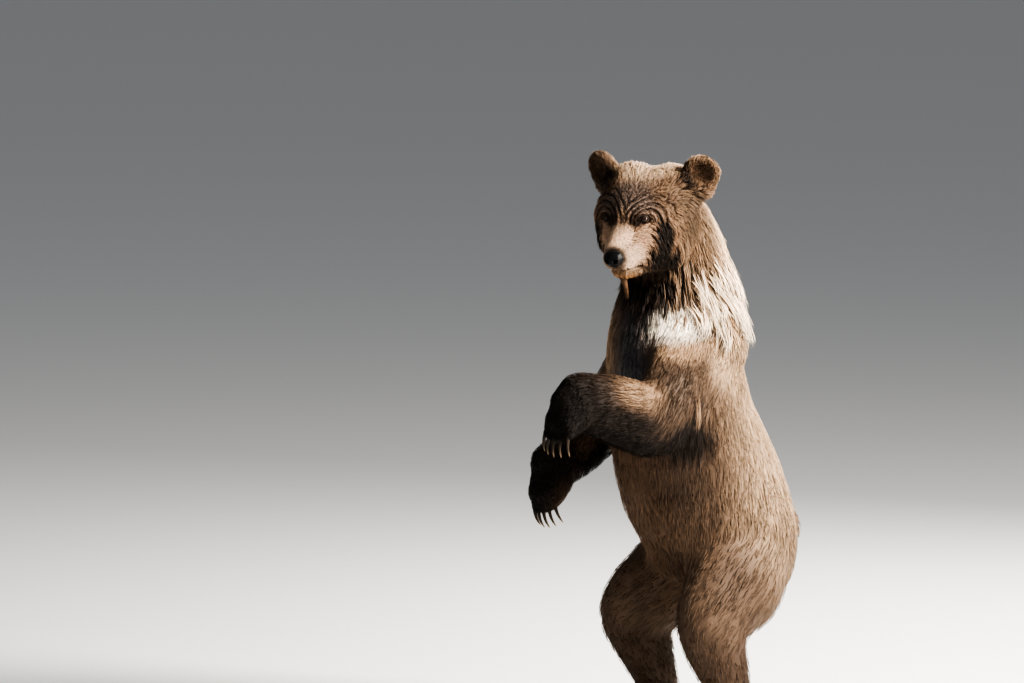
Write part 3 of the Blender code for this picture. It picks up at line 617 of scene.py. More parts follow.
def build_skin():
    skin = Skin()
    skin.obj = base_skin()
    skin.mesh = mesh = skin.obj.data
    co = fine_mesh(mesh)
    skin.pairs = pairs = edges_of(mesh)
    whole, faces = merged_nodes(FLESH)
    tree = BVHTree.FromBMesh(whole)
    whole.free()
    order = np.array([FLESH.index(name) for name in faces])
    skin.label = order[[tree.find_nearest(p)[2] for p in co.tolist()]]
    skin.co, skin.head, skin.normal = co, to_head(co), normals_of(mesh)
    skin.mouth = mouth_mask(co, skin.head)
    skin.cupped = ((relaxed(co, pairs, 4) - co) * skin.normal).sum(1) > -0.0002
    skin.fields = fields_of(skin)
    flow = flow_of(skin)
    # The skin lies inside the solids by the coat's depth, and rises to them at the soles.
    inward = np.minimum(skin.fields["depth"], np.where(on(skin, "ear"), 0.007, 1.0))
    inward = relaxed(inward[:, None], pairs, 8)[:, 0] * step(0.0, 0.02, co[:, 2])
    moved = co - skin.normal * inward[:, None]
    moved += skin.normal * relief_of(skin, to_head(moved))[:, None]
    for side, _ in SIDES:
        moved = lidded(moved, side)
    put_back(mesh, moved)
    skin.co, skin.head, skin.normal = moved, to_head(moved), normals_of(mesh)
    skin.flow = unit(flow - skin.normal * (flow * skin.normal).sum(1, keepdims=True))
    skin.tris = triangles_of(mesh)
    skin.tree = BVHTree.FromPolygons(moved.tolist(), skin.tris.tolist())
    apart = np.array([tree.find_nearest(p)[3] for p in moved.tolist()])
    skin.room = relaxed(np.minimum(apart, skin.fields["depth"] * 1.12 + 0.001)[:, None], pairs, 4)[:, 0]
    corners = moved[skin.tris]
    doubled = np.cross(corners[:, 1] - corners[:, 0], corners[:, 2] - corners[:, 0])
    skin.area = np.linalg.norm(doubled, axis=1) / 2
    skin.tri_flow = unit(flow[skin.tris].mean(1))
    skin.tri_normal = unit(skin.normal[skin.tris].mean(1))
    skin.tri_room = skin.room[skin.tris].mean(1)
    return skin


# ---------------------------------------------------------------- coat

def nearest(skin, points):
    hits = [skin.tree.find_nearest(p) for p in points.tolist()]
    return np.array([h[0][:] for h in hits]), np.array([h[2] for h in hits])


HAIR_ACROSS, HAIR_ALONG = 0.00055, 0.022  # of one strand in the fur's pattern
ROOT_DEPTH = 0.0015
UV_REACH = 0.0015  # of each lock's patch about its root's place on the unwrap


def combed(skin, start, tri, length, droop, lift, room, steps, over, free):
    """Walks each lock over the skin along the lie of the coat: its points and the normals there."""
    path = np.empty((len(start), steps + 1, 3))
    out = np.empty_like(path)
    position, normal = start, skin.tri_normal[tri]
    path[:, 0], out[:, 0] = start - normal * ROOT_DEPTH, normal
    for k in range(1, steps + 1):
        s = k / steps
        pull = (droop * s)[:, None]
        ahead = skin.tri_flow[tri] * (1 - pull) + DOWN * pull
        ahead = unit(ahead) + normal * (lift * (1 - s))[:, None]
        target = position + unit(ahead) * (length / steps)[:, None]
        near, tri = nearest(skin, target)
        normal = skin.tri_normal[tri]
        # A lock keeps between a share of the room over the skin and its top.
        gap = ((target - near) * normal).sum(1)
        top = np.maximum(room, skin.tri_room[tri] + over)
        gap = np.clip(gap, top * (0.25 + 0.45 * s), top * 1.02 + free * s * s)
        position = near + normal * gap[:, None]
        path[:, k], out[:, k] = position, normal
    return path, out


def sample(skin, faces, weight, count, rng):
    """Random places on the given faces: their faces, and their shares of each one's corners."""
    chance = skin.area[faces] * weight
    picked = faces[rng.choice(len(faces), count, p=chance / chance.sum())]
    a, b = rng.random(count), rng.random(count)
    flip = a + b > 1
    a[flip], b[flip] = 1 - a[flip], 1 - b[flip]
    return picked, np.stack([1 - a - b, a, b], axis=1)


# The unwrap: the parts rolled flat together, the joints along a paired limb, and the strip's two ends.
CHART = (
    (("head", "lower_jaw", "ear"), (), 0.0, 0.26),
    (("neck",), (), 0.26, 0.40),
    (("chest",), (), 0.40, 0.58),
    (("pelvis", "tail"), (), 0.58, 0.74),
    (("upper_arm", "forearm", "forepaw"), (SHOULDER, ELBOW, WRIST), 0.74, 0.87),
    (("thigh", "shin", "hind_foot"), (HIP, KNEE, ANKLE), 0.87, 1.0),
)


def chart_of(points, label):
    """Each root's place on an unwrap of the skin: its part rolled flat round its own line, in a strip."""
    uv = np.zeros((len(points), 2))
    for parts, joints, low, high in CHART:
        for half, side in enumerate(("left", "right") if joints else ("",)):
            inside = [i for i, n in enumerate(FLESH) if part_of(n) in parts and n.endswith(side)]
            here = np.isin(label, inside)
            if not here.any():
                continue
            p = points[here]
            if parts[0] == "head":
                d = to_head(p) - (0, -0.08, -0.03)
                turn = np.arctan2(d[:, 0], d[:, 2])
                along = (d[:, 1] + 0.20) / 0.42
            elif joints:
                start, bend, end = (place[side] for place in joints)
                axis = unit(end - start)
                other = unit(np.cross(axis, (1.0, 0.2, 0.1)))
                d = p - bend
                turn = np.arctan2(d @ other, d @ np.cross(axis, other))
                along = (d @ axis + 0.30) / 0.60
            else:
                d = p - p.mean(0)
                turn = np.arctan2(d[:, 0], d[:, 1])
                along = (d[:, 2] + 0.30) / 0.60
            across = 0.5 + turn / (2 * pi)
            if joints:
                across = (across + half) / 2
            span = high - low
            uv[here, 0] = np.clip(across, 0, 1) * 0.99 + 0.005
            uv[here, 1] = low + np.clip(along, 0, 1) * span * 0.97 + span * 0.015
    return np.clip(uv, 0.003, 0.997)


def lock_mesh(name, path, out, width, colours, uv, seeds):
    """One closed, three-sided, tapering lock for each path, joined."""
    count, points, _ = path.shape
    rings = points - 1
    ahead = np.empty_like(path)
    ahead[:, :-1] = path[:, 1:] - path[:, :-1]
    ahead[:, -1] = ahead[:, -2]
    ahead = unit(ahead)
    across = unit(np.cross(ahead, out))
    crest = np.cross(across, ahead)
    half = width[:, :rings, None] / 2
    aside = across[:, :rings] * half
    ring = path[:, :rings, None] + np.stack([-aside, aside, crest[:, :rings] * half * 0.55], axis=2)
    per = 3 * rings + 1  # corners
    verts = np.concatenate([ring.reshape(count, 3 * rings, 3), path[:, -1:]], axis=1).reshape(-1, 3)
    turns = ((0, 1), (1, 2), (2, 0))
    faces = [(3 * k + i, 3 * k + j, 3 * k + 3 + j, 3 * k + 3 + i) for k in range(rings - 1) for i, j in turns]
    last = 3 * (rings - 1)
    faces += [(0, 2, 1)] + [(last + i, last + j, per - 1) for i, j in turns]
    one = np.array([corner for face in faces for corner in face], np.int32)
    loops = (one[None, :] + (np.arange(count, dtype=np.int32) * per)[:, None]).ravel()
    totals = np.tile([len(face) for face in faces], count)
    starts = (np.cumsum(totals) - totals).astype(np.int32)
    mesh = bpy.data.meshes.new(name)
    mesh.vertices.add(len(verts))
    mesh.vertices.foreach_set("co", verts.ravel())
    mesh.loops.add(len(loops))
    mesh.loops.foreach_set("vertex_index", loops)
    mesh.polygons.add(len(totals))
    mesh.polygons.foreach_set("loop_start", starts)
    mesh.update(calc_edges=True)
    mesh.shade_smooth()
    ringed = np.repeat(colours[:, :rings], 3, axis=1)
    own_colour(mesh, np.concatenate([ringed, colours[:, -1:]], axis=1).reshape(-1, 3))
    along = np.concatenate([np.repeat(np.arange(rings) / rings, 3), [1.0]])
    sideways = np.concatenate([np.tile([-1.0, 1.0, 0.0], rings), [0.0]])
    reach = np.linalg.norm(path[:, 1:] - path[:, :-1], axis=2).sum(1)
    strand = np.zeros((count, per, 3), np.float32)
    strand[..., 0] = sideways * width[:, :1] / 2 / HAIR_ACROSS
    strand[..., 1] = along * reach[:, None] / HAIR_ALONG
    strand[..., 2] = seeds[:, None]
    own_layer(mesh, "FLOAT_VECTOR", "strand", "vector", strand)
    patch = np.stack([sideways, along * 2 - 1], axis=1) * UV_REACH
    loop_uv = uv[:, None, :] + patch[one][None]
    mesh.uv_layers.new(name="OFBake").uv.foreach_set("vector", loop_uv.astype(np.float32).ravel())
    return new_object(name, mesh)


def onto_ridges(skin, start, corner, share):
    """Draws the brows' locks together on the wet ridges, so that dark furrows part them."""
    sweep = (skin.sweep[corner] * share).sum(1)
    local = to_head(start)
    for _, sign in SIDES:
        mine = (local[:, 0] * sign > 0) & (sweep > 0.05)
        centre = (sign * BROW_OUT, 0.0)
        flat = local[:, [0, 2]] - centre
        reach = np.linalg.norm(flat, axis=1)
        crest = np.round(reach / BROW_RIDGE) * BROW_RIDGE
        gain = 1 + (crest / np.maximum(reach, 1e-6) - 1) * 0.75 * sweep
        moved = flat * gain[:, None] + centre
        local[mine, 0], local[mine, 2] = moved[mine, 0], moved[mine, 1]
    return from_head(local)


def grow(skin, name, where, count, steps, rng, clump_gap, free, fields=None, over=0.0, gather=1.4):
    """A coat piece: locks rooted where the skin is marked, in clumps whose tips draw together.

    The argument over lifts the whole coat, free lets the tips rise past its top, and a lower
    gather draws a clump together nearer its roots.
    """
    fields = fields or skin.fields
    where = where.astype(float)
    faces = np.flatnonzero(where[skin.tris].min(1) > 0.02)
    size = (fields["length"] * fields["width"])[skin.tris[faces]].mean(1)
    weight = 1 / np.maximum(size, 1.0e-5) ** 0.75 * where[skin.tris[faces]].mean(1)
    tri, share = sample(skin, faces, weight, count, rng)
    corner = skin.tris[tri]
    value = {}
    for key, field in fields.items():
        value[key] = (field[corner] * (share[..., None] if field.ndim == 2 else share)).sum(1)
    start = (skin.co[corner] * share[..., None]).sum(1)
    if (skin.sweep[corner] > 0.05).any():
        start, tri = nearest(skin, onto_ridges(skin, start, corner, share))
    room = (skin.room[corner] * share).sum(1) + over
    ridge = (skin.ridge[corner] * share).sum(1)
    length = value["length"] * rng.uniform(0.72, 1.18, count)
    path, out = combed(skin, start, tri, length, value["droop"], value["lift"], room, steps, over, free)
    # Clumps: every so many locks one leads, and its neighbours' tips bend towards it.
    leading = rng.random(count) < np.clip(skin.area[faces].sum() / clump_gap ** 2 / count, 0.01, 0.5)
    leading[0] = True
    leaders = np.flatnonzero(leading)
    finder = KDTree(len(leaders))
    for i, leader in enumerate(leaders):
        finder.insert(start[leader], i)
    finder.balance()
    mine = leaders[[finder.find(p)[1] for p in start.tolist()]]
    s = np.linspace(0, 1, steps + 1)[None, :, None]
    apart = np.linalg.norm(start - start[mine], axis=1)
    hold = value["clump"] * step(2.2 * clump_gap, 0.9 * clump_gap, apart)
    path = path + (path[mine] - path) * (hold[:, None, None] * s ** gather)
    path[:, 0] = start - out[:, 0] * ROOT_DEPTH
    ruffle = value["width"] * 0.40 + value["length"] * value["lift"] * 0.10
    jitter = rng.normal(0, 1, (count, 1, 3)) * ruffle[:, None, None]
    path = path + jitter * s
    path[:, 1:] += out[:, 1:] * 0.0004
    # Width along the lock, and its colours from root to tip.
    profile = np.interp(np.linspace(0, 1, steps + 1), [0, 0.3, 0.7, 1], [0.75, 1.0, 0.72, 0.0])
    width = value["width"][:, None] * rng.uniform(0.7, 1.35, count)[:, None] * profile[None]
    blend = np.linspace(0, 1, steps + 1)[None, :, None] ** 0.9
    clump_tone = 1 + rng.uniform(-0.30, 0.30, count)[mine] * value["clump"]
    # Tone varies at random by clump and lock; on the brows it is also lighter on the wet ridges and darker in
    # the furrows, a painted highlight and painted shade.
    tone = clump_tone * rng.uniform(0.87, 1.13, count) * (1 + 0.40 * ridge)
    warm = rng.normal(0, 0.03, (count, 1))
    colours = value["root"][:, None] * (1 - blend) + value["tip"][:, None] * blend
    colours = colours * tone[:, None, None]
    colours = colours * np.concatenate([1 + warm, np.ones((count, 1)), 1 - warm], axis=1)[:, None]
    uv = chart_of(start, skin.label[corner[:, 0]])
    obj = lock_mesh(name, path, out, width, np.clip(colours, 0.002, 1.0), uv, rng.uniform(0, 90, count))
    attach(obj, "root")
    return obj


def hanging_locks(skin, rng):
    """The long wet locks that hang clear: behind the cheeks, over the cape, in the armpits, at the chin."""
    h, b = skin.head, skin.co
    made = []

    def hang(name, where, count, gap, over, free, **changes):
        fields = dict(skin.fields)
        paint(fields, np.ones(len(b)), **changes)
        made.append(grow(skin, name, where, count, 6, rng, gap, free, fields, over, 0.9))

    behind = np.zeros(len(b))
    pits = np.zeros(len(b))
    for side, sign in SIDES:
        behind = np.maximum(behind, spot(h, (sign * 0.118, -0.085, -0.100), (0.028, 0.030, 0.045), 0.5))
        behind = np.maximum(behind, spot(b, (0.01 + sign * 0.140, -0.010, 1.240), (0.05, 0.06, 0.070), 0.5))
        pit = ELBOW[side] + (0.03 * sign, 0.120, 0.062)
        pits = np.maximum(pits, spot(b, pit, (0.012, 0.013, 0.010), 0.4))
    hang("locks_cheeks", behind, 300, 0.015, 0.004, 0.006, length=0.070, width=0.0022, clump=0.97, droop=0.85,
         lift=0.32, root=DARK * 0.6, tip=TAN * 0.95)
    cape = spot(b, (0.015, 0.130, 1.205), (0.26, 0.140, 0.085), 0.45) * step(-0.03, 0.03, b[:, 1])
    hang("locks_cape", cape, 2200, 0.036, 0.007, 0.022, length=0.100, width=0.0034, clump=0.97, droop=0.34,
         lift=0.60, root=TAN, tip=(0.90, 0.74, 0.56))
    hang("locks_armpits", pits, 30, 0.012, 0.004, 0.014, length=0.090, width=0.0012, clump=0.90, droop=0.97,
         lift=0.40, root=BROWN, tip=TAN * 1.1)
    chin = spot(h, (0.002, 0.067, -0.146), (0.018, 0.013, 0.026), 0.4)
    hang("locks_chin", chin, 70, 0.06, 0.002, 0.060, length=0.074, width=0.0014, clump=0.985, droop=0.99,
         lift=0.22, root=(0.065, 0.034, 0.018), tip=(0.19, 0.105, 0.058))
    return made


def build_coat(skin):
    rng = np.random.default_rng(7)
    h = skin.head
    is_head = on(skin, "head", "lower_jaw")
    face = (h[:, 1] > -0.035) & (h[:, 2] > -0.175)
    bare = np.zeros(len(h), bool)
    for side, _ in SIDES:
        centre, out, along, up = eye_frame(side)
        d = skin.co - centre
        bare |= (np.hypot((d @ along) / 0.0125, (d @ up) / 0.0092) < 1) & (d @ out > 0)
    bare |= spot(h, (0, 0.098, -0.073), (0.031, 0.026, 0.026), 0.02) > 0.5
    bare |= skin.mouth > 0.5
    soles = skin.co[:, 2] < 0.004
    upper = skin.co[:, 2] > 1.00
    crown = h[:, 2] > 0.0
    trunk = on(skin, "chest", "upper_arm")
    pieces = [
        ("coat_face", is_head & face & ~bare, 11500, 3, 0.008, 0.0),
        ("coat_crown", is_head & ~face & crown, 7000, 3, 0.011, 0.003),
        ("coat_cheeks", is_head & ~face & ~crown, 5400, 5, 0.014, 0.003),
        ("coat_ears", on(skin, "ear"), 6500, 3, 0.006, 0.005),
        ("coat_neck", on(skin, "neck"), 6000, 5, 0.015, 0.008),
        ("coat_shoulders", trunk & upper, 7000, 4, 0.014, 0.002),
        ("coat_trunk", trunk & ~upper, 11500, 3, 0.011, 0.0),
        ("coat_rump", on(skin, "pelvis", "tail"), 6500, 3, 0.014, 0.0),
        ("coat_forelegs", on(skin, "forearm", "forepaw"), 9800, 3, 0.010, 0.0),
        ("coat_hindlegs", on(skin, "thigh", "shin", "hind_foot") & ~soles, 6600, 3, 0.014, 0.0),
    ]
    made = [grow(skin, name, where, count, steps, rng, gap, free)
            for name, where, count, steps, gap, free in pieces]
    return made + hanging_locks(skin, rng)


# ---------------------------------------------------------------- eyes, nose, claws

def build_eye(side):
    """A ball with a slightly fuller cornea. Each vertex keeps how far it lies from the eye's axis."""
    centre, out, _, up = eye_frame(side)
    bm = bmesh.new()
    bmesh.ops.create_uvsphere(bm, u_segments=48, v_segments=32, radius=EYE_BALL)
    eye = from_bmesh(f"{side}_eyeball", bm)
    co = coordinates(eye.data)
    off_axis = np.arccos(np.clip(unit(co)[:, 2], -1, 1))
    co *= 1 + 0.045 * step(0.62, 0.30, off_axis)[:, None]
    put_back(eye.data, co @ np.array((np.cross(up, out), up, out)) + centre)
    eye.data.shade_smooth()
    own_layer(eye.data, "FLOAT", "off_axis", "value", off_axis)
    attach(eye, "root")
    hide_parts(f"eye_{side}")
    return eye


NOSE_MIDDLE = (0, 0.0960, -0.0765)
HOLE_OUT, SLIT_OUT = 0.0118, 0.0205  # from the middle to each nostril's hole and to its slit


def build_nose():
    """The bare nose pad: broad above, narrow below, with comma-shaped nostrils and a cleft."""
    bm = bmesh.new()
    bmesh.ops.create_icosphere(bm, subdivisions=6, radius=1.0)
    nose = from_bmesh("nose_pad", bm)
    ball = coordinates(nose.data)
    l, f, u = (ball / np.maximum(np.abs(ball).max(1), 1e-6)[:, None] ** 0.22).T
    x = l * 0.0280 * (1 - 0.34 * step(0.25, -1.0, u))
    y, z = f * 0.0185, u * 0.0225
    y = y - 0.004 * step(0.0, -1.0, u) - 0.10 * np.abs(x)
    front = step(-0.2, 0.5, f)
    push = np.zeros(len(x))
    for sign in (1, -1):
        out = x * sign - HOLE_OUT
        hole = np.hypot(out / 0.0062, (z + 0.0010 - 0.25 * out) / 0.0054)
        push += 0.0105 * step(1.10, 0.45, hole) * front
        push -= 0.0013 * np.exp(-((hole - 1.45) / 0.30) ** 2) * front
        out = x * sign - SLIT_OUT
        slit = np.hypot(out / 0.0085, (z + 0.0045 - 0.35 * out) / 0.0019)
        push += 0.0045 * step(1.2, 0.4, slit) * step(-0.6, 0.2, f)
    push += 0.0024 * np.exp(-(x / 0.0013) ** 2) * step(0.007, -0.002, z) * front
    local = np.stack([x, y - push, z], axis=1) + NOSE_MIDDLE
    local[:, 1] -= (local[:, 2] + 0.0725) * 0.12
    put_back(nose.data, from_head(local))
    nose.data.shade_smooth()
    # How deep each place lies in the nostrils, for the painted shade in them.
    own_layer(nose.data, "FLOAT", "hollow_shade", "value", np.clip(push / 0.009, 0, 1))
    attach(nose, "root")
    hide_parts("nose")
    return nose


def claw_line(node, paw):
    """A claw solid's corners, and how far along it each lies, from the root by the paw to the tip."""
    co = np.array([v.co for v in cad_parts[node].data.vertices])
    mean = co.mean(0)
    axis = np.linalg.svd(co - mean, full_matrices=False)[2][0]
    if (np.array(middle(paw)) - mean) @ axis > 0:
        axis = -axis
    return co, (co - mean) @ axis


def build_claws(group, paw):
    """Smooth curved claws over the solids', each a swept oval that tapers to a blunt point."""
    sides, stations = 14, 13
    bm = bmesh.new()
    along = []
    nodes = [f"claw_{group}_{i}" for i in range(1, 6)]
    for node in nodes:
        co, t = claw_line(node, paw)
        # A curve through the solid's root, middle and tip, as thick as the solid is near its root.
        root, tip = co[t < t.min() + 0.004].mean(0), co[t > t.max() - 0.0015].mean(0)
        centre = co[np.abs(t - (t.min() + t.max()) / 2) < 0.006].mean(0)
        bend = 2 * centre - (root + tip) / 2
        base = co[t < t.min() + 0.012]
        size = max(0.0035, np.linalg.norm(base - base.mean(0), axis=1).max() * 0.86)
        hint = unit(np.cross(tip - root, bend - root) + 1e-9)
        rings = []
        for k in range(stations):
            s = k / (stations - 1)
            place = (1 - s) ** 2 * root + 2 * s * (1 - s) * bend + s * s * tip
            ahead = unit(2 * (1 - s) * (bend - root) + 2 * s * (tip - bend))
            thick = unit(np.cross(hint, ahead))
            taper = size * (1 - s) ** 0.62 + 0.0007
            rings.append([bm.verts.new(place + hint * cos(a) * taper * 0.72 + thick * sin(a) * taper)
                          for a in np.linspace(0, 2 * pi, sides, endpoint=False)])
            along += [s] * sides
        edges = [[bm.edges.new((ring[j], ring[(j + 1) % sides])) for j in range(sides)] for ring in rings]
        for first, second in zip(edges[:-1], edges[1:]):
            bmesh.ops.bridge_loops(bm, edges=first + second)
        for end in (rings[0], rings[-1]):
            bmesh.ops.contextual_create(bm, geom=end)
    bmesh.ops.recalc_face_normals(bm, faces=bm.faces[:])
    claws = from_bmesh(f"claws_{group}", bm)
    claws.data.shade_smooth()
    own_layer(claws.data, "FLOAT", "toward_tip", "value", np.array(along))
    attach(claws, "root")
    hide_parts(*nodes)
    return claws


# ---------------------------------------------------------------- materials

class Nodes:
    """Short calls for a node tree. A value given to an input may be a constant or another node's socket."""

    def __init__(self, tree):
        self.tree = tree

    def add(self, kind, values=(), **settings):
        node = self.tree.nodes.new(kind)
        for key, value in settings.items():
            setattr(node, key, value)
        for key, value in dict(values).items():
            self.give(node, key, value)
        return node

    def give(self, node, key, value):
        if hasattr(value, "is_linked"):
            self.tree.links.new(value, node.inputs[key])
        else:
            node.inputs[key].default_value = value

    def attribute(self, name, output="Fac"):
        return self.add("ShaderNodeAttribute", attribute_name=name).outputs[output]

    def place(self):
        return self.add("ShaderNodeTexCoord").outputs["Object"]

    def noise(self, vector, scale, detail, **more):
        values = {"Vector": vector, "Scale": scale, "Detail": detail, **more}
        return self.add("ShaderNodeTexNoise", values).outputs["Fac"]

    def span(self, value, low, high, begin=0.0, end=1.0):
        """From low to high, as the value goes from begin to end."""
        values = {"Value": value, "From Min": begin, "From Max": end, "To Min": low, "To Max": high}
        return self.add("ShaderNodeMapRange", values).outputs[0]

    def maths(self, operation, *values):
        return self.add("ShaderNodeMath", enumerate(values), operation=operation).outputs[0]

    def scaled(self, colour, gain):
        return self.add("ShaderNodeVectorMath", {0: colour, "Scale": gain}, operation="SCALE").outputs[0]

    def ramp(self, value, stops):
        """The value as a colour, by stops in order, each a place and a colour."""
        node = self.add("ShaderNodeValToRGB", {"Fac": value})
        elements = node.color_ramp.elements
        while len(elements) < len(stops):
            elements.new(0.5)
        for element, (place, colour) in zip(elements, stops):
            element.position = place
            element.color = (*colour, 1)
        return node.outputs["Color"]

    def dress(self, shader, colour, rough, height, bump, distance, specular):
        """Joins colour and roughness to the shader, and the height as a bump of that strength and depth."""
        raised = self.add("ShaderNodeBump", {"Height": height, "Strength": bump, "Distance": distance})
        for key, value in (("Base Color", colour), ("Roughness", rough), ("Normal", raised.outputs[0]),
                           ("Specular IOR Level", specular)):
            self.give(shader, key, value)


def wet_fur_group():
    """Colour broken into strands and damp patches, with a height for the strands' bump."""
    tree = bpy.data.node_groups.new("wet_fur", "ShaderNodeTree")
    for way, name, kind in (("INPUT", "Colour", "Color"), ("INPUT", "Strand", "Vector"),
                            ("INPUT", "Contrast", "Float"), ("INPUT", "Dry", "Float"),
                            ("OUTPUT", "Colour", "Color"), ("OUTPUT", "Roughness", "Float"),
                            ("OUTPUT", "Height", "Float")):
        tree.interface.new_socket(name, in_out=way, socket_type=f"NodeSocket{kind}")
    n = Nodes(tree)
    given = n.add("NodeGroupInput").outputs
    fine = n.noise(given["Strand"], 1.0, 3.0, Roughness=0.6)
    broad = n.noise(n.place(), 11.0, 3.0, Roughness=0.55)
    patch = n.span(broad, 0.84, 1.14, 0.30, 0.70)
    streak = n.span(fine, -1.0, 1.0, 0.30, 0.70)
    gain = n.maths("MULTIPLY", n.maths("MULTIPLY_ADD", streak, given["Contrast"], 1.0), patch)
    damp = n.span(broad, 0.10, -0.10, 0.30, 0.70)
    n.add("NodeGroupOutput", {"Colour": n.scaled(given["Colour"], gain),
                              "Roughness": n.maths("ADD", damp, given["Dry"]), "Height": fine})
    return tree


def fresh_material(name):
    material = bpy.data.materials.new(name)
    material.use_nodes = True
    return material, Nodes(material.node_tree), material.node_tree.nodes["Principled BSDF"]


def fur_material(name, group, contrast, dry, bump, specular):
    material, n, shader = fresh_material(name)
    values = {"Colour": n.attribute("coat_colour", "Color"), "Strand": n.attribute("strand", "Vector"),
              "Contrast": contrast, "Dry": dry}
    wet = n.add("ShaderNodeGroup", values, node_tree=group).outputs
    n.dress(shader, wet["Colour"], wet["Roughness"], wet["Height"], bump, 0.0012, specular)
    return material


def eye_material():
    material, n, shader = fresh_material("wet_eye")
    ramp = n.ramp(n.attribute("off_axis"), [
        (0.0, (0.004, 0.003, 0.003)), (0.20, (0.004, 0.003, 0.003)), (0.26, (0.026, 0.010, 0.005)),
        (0.50, (0.036, 0.014, 0.006)), (0.60, (0.006, 0.004, 0.003)), (0.75, (0.016, 0.010, 0.008)),
        (1.0, (0.03, 0.02, 0.016))])
    fibre = n.noise(n.place(), 900.0, 2.0)
    n.give(shader, "Base Color", n.scaled(ramp, n.span(fibre, 0.65, 1.35)))
    n.give(shader, "Roughness", 0.08)
    n.give(shader, "Specular IOR Level", 0.5)
    return material


def nose_material():
    material, n, shader = fresh_material("nose_leather")
    place = n.place()
    cells = n.add("ShaderNodeTexVoronoi", {"Vector": place, "Scale": 620.0}, feature="F1").outputs["Distance"]
    grain = n.noise(place, 240.0, 4.0)
    # The nostrils are darkened by painted shade, deeper is darker.
    gain = n.maths("MULTIPLY", n.span(grain, 0.75, 1.3, 0.3, 0.7), n.span(n.attribute("hollow_shade"), 1.0, 0.25))
    height = n.maths("MULTIPLY_ADD", cells, 0.8, grain)
    colour = n.scaled((0.0045, 0.0040, 0.0042), gain)
    n.dress(shader, colour, n.span(grain, 0.36, 0.56), height, 0.45, 0.0012, 0.16)
    return material


def claw_material():
    material, n, shader = fresh_material("claw_horn")
    ramp = n.ramp(n.attribute("toward_tip"), [
        (0.0, (0.016, 0.011, 0.008)), (0.70, (0.030, 0.021, 0.014)), (1.0, (0.130, 0.092, 0.058))])
    grain = n.noise(n.place(), 320.0, 4.0, Distortion=0.8)
    colour = n.scaled(ramp, n.span(grain, 0.7, 1.3, 0.3, 0.7))
    n.dress(shader, colour, n.span(grain, 0.48, 0.70), grain, 0.25, 0.0008, 0.12)
    return material


# ---------------------------------------------------------------- floor, light, camera

AZIMUTH, ELEVATION = radians(55), radians(6)
TOWARD_CAMERA = Vector((sin(AZIMUTH) * cos(ELEVATION), -cos(AZIMUTH) * cos(ELEVATION), sin(ELEVATION)))
CAMERA_RIGHT = Vector((cos(AZIMUTH), sin(AZIMUTH), 0))
CAMERA_UP = TOWARD_CAMERA.cross(CAMERA_RIGHT)
LENS, SENSOR = 300.0, 36.0
VIEW_WIDTH = 2.7675676  # metres across the picture, at the bear
VIEW_CENTRE = (-0.4753, 1.0511)  # across and up, in the solids' building place
STUDIO_MIDDLE = Vector((0, 0.05, 0.95))


def build_camera():
    data = bpy.data.cameras.new("camera")
    data.lens, data.sensor_width, data.clip_end = LENS, SENSOR, 100
    aim = CAMERA_RIGHT * (VIEW_CENTRE[0] + BUILT_FROM.dot(CAMERA_RIGHT))
    aim += CAMERA_UP * (VIEW_CENTRE[1] + BUILT_FROM.dot(CAMERA_UP))
    turn = Matrix((CAMERA_RIGHT, CAMERA_UP, TOWARD_CAMERA)).transposed().to_4x4()
    camera = new_object("camera", data)
    camera.matrix_world = Matrix.Translation(aim + TOWARD_CAMERA * (LENS / SENSOR * VIEW_WIDTH)) @ turn
    bpy.context.scene.camera = camera


def build_light(name, right, toward, up, size, power, colour):
    """A square light placed from the studio's middle as the camera sees it, and turned to it."""
    data = bpy.data.lights.new(name, "AREA")
    data.size, data.energy, data.color = size, power, colour
    away = CAMERA_RIGHT * right + TOWARD_CAMERA * toward + Vector((0, 0, up))
    light = new_object(name, data)
    turn = away.to_track_quat("Z", "Y").to_matrix().to_4x4()
    light.matrix_world = Matrix.Translation(STUDIO_MIDDLE + away) @ turn


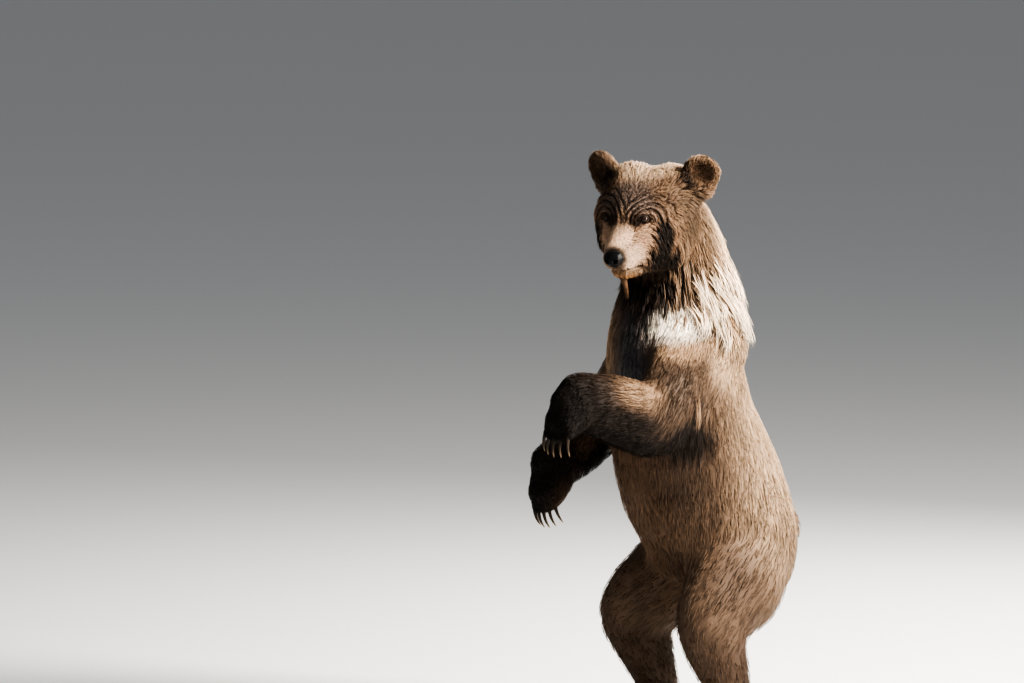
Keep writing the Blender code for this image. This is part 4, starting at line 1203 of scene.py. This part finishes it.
def build_stage():
    bpy.context.scene.view_settings.look = "AgX - High Contrast"
    bm = bmesh.new()
    bmesh.ops.create_grid(bm, x_segments=1, y_segments=1, size=90)
    floor = from_bmesh("floor", bm)
    material, n, shader = fresh_material("pale_floor")
    n.give(shader, "Base Color", (0.74, 0.74, 0.73, 1))
    n.give(shader, "Roughness", 0.9)
    floor.data.materials.append(material)
    world = bpy.data.worlds.new("studio")
    world.use_nodes = True
    back = world.node_tree.nodes["Background"]
    back.inputs["Color"].default_value = (0.80, 0.82, 0.86, 1)
    back.inputs["Strength"].default_value = 0.27
    bpy.context.scene.world = world
    build_light("key", 3.1, 1.5, 2.1, 1.3, 900, (1.0, 0.95, 0.88))
    build_light("fill", -2.6, 3.2, 1.2, 3.0, 42, (0.84, 0.92, 1.0))
    build_light("back", 1.6, -3.0, 2.2, 1.8, 160, (1.0, 0.96, 0.90))


# ---------------------------------------------------------------- the bear

build_camera()
build_stage()
skin = build_skin()
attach(skin.obj, "root")
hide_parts(*FLESH)
# The under-fur takes the coat's colours, with a painted highlight on the brows' wet ridges and painted shade
# in the furrows between.
tone = (skin.fields["root"] * 0.55 + skin.fields["tip"] * 0.35) * (1 + 0.35 * skin.ridge)[:, None]
own_colour(skin.mesh, tone)
# Strands on the skin run with the coat: places are drawn in along its lie, and the pattern stretches.
hub = np.where((skin.head[:, 2] > HEAD_FLOOR)[:, None], HEAD_ORIGIN, np.array((0.0, 0.0, 0.8)))
lying = skin.co - hub
lying = lying - skin.flow * (lying * skin.flow).sum(1, keepdims=True) * 0.93
own_layer(skin.mesh, "FLOAT_VECTOR", "strand", "vector", lying / (HAIR_ACROSS * 2.2))
skin.mesh.shade_smooth()

fur_group = wet_fur_group()
skin.mesh.materials.append(fur_material("under_fur", fur_group, 0.35, 0.60, 0.8, 0.15))
coat_fur = fur_material("coat_fur", fur_group, 0.30, 0.55, 0.5, 0.14)
for piece in build_coat(skin):
    piece.data.materials.append(coat_fur)

wet_eye = eye_material()
for side, _ in SIDES:
    build_eye(side).data.materials.append(wet_eye)
build_nose().data.materials.append(nose_material())
horn = claw_material()
for limb, paw in (("fore", "forepaw"), ("hind", "hind_foot")):
    for side, _ in SIDES:
        build_claws(f"{limb}_{side}", f"{paw}_{side}").data.materials.append(horn)
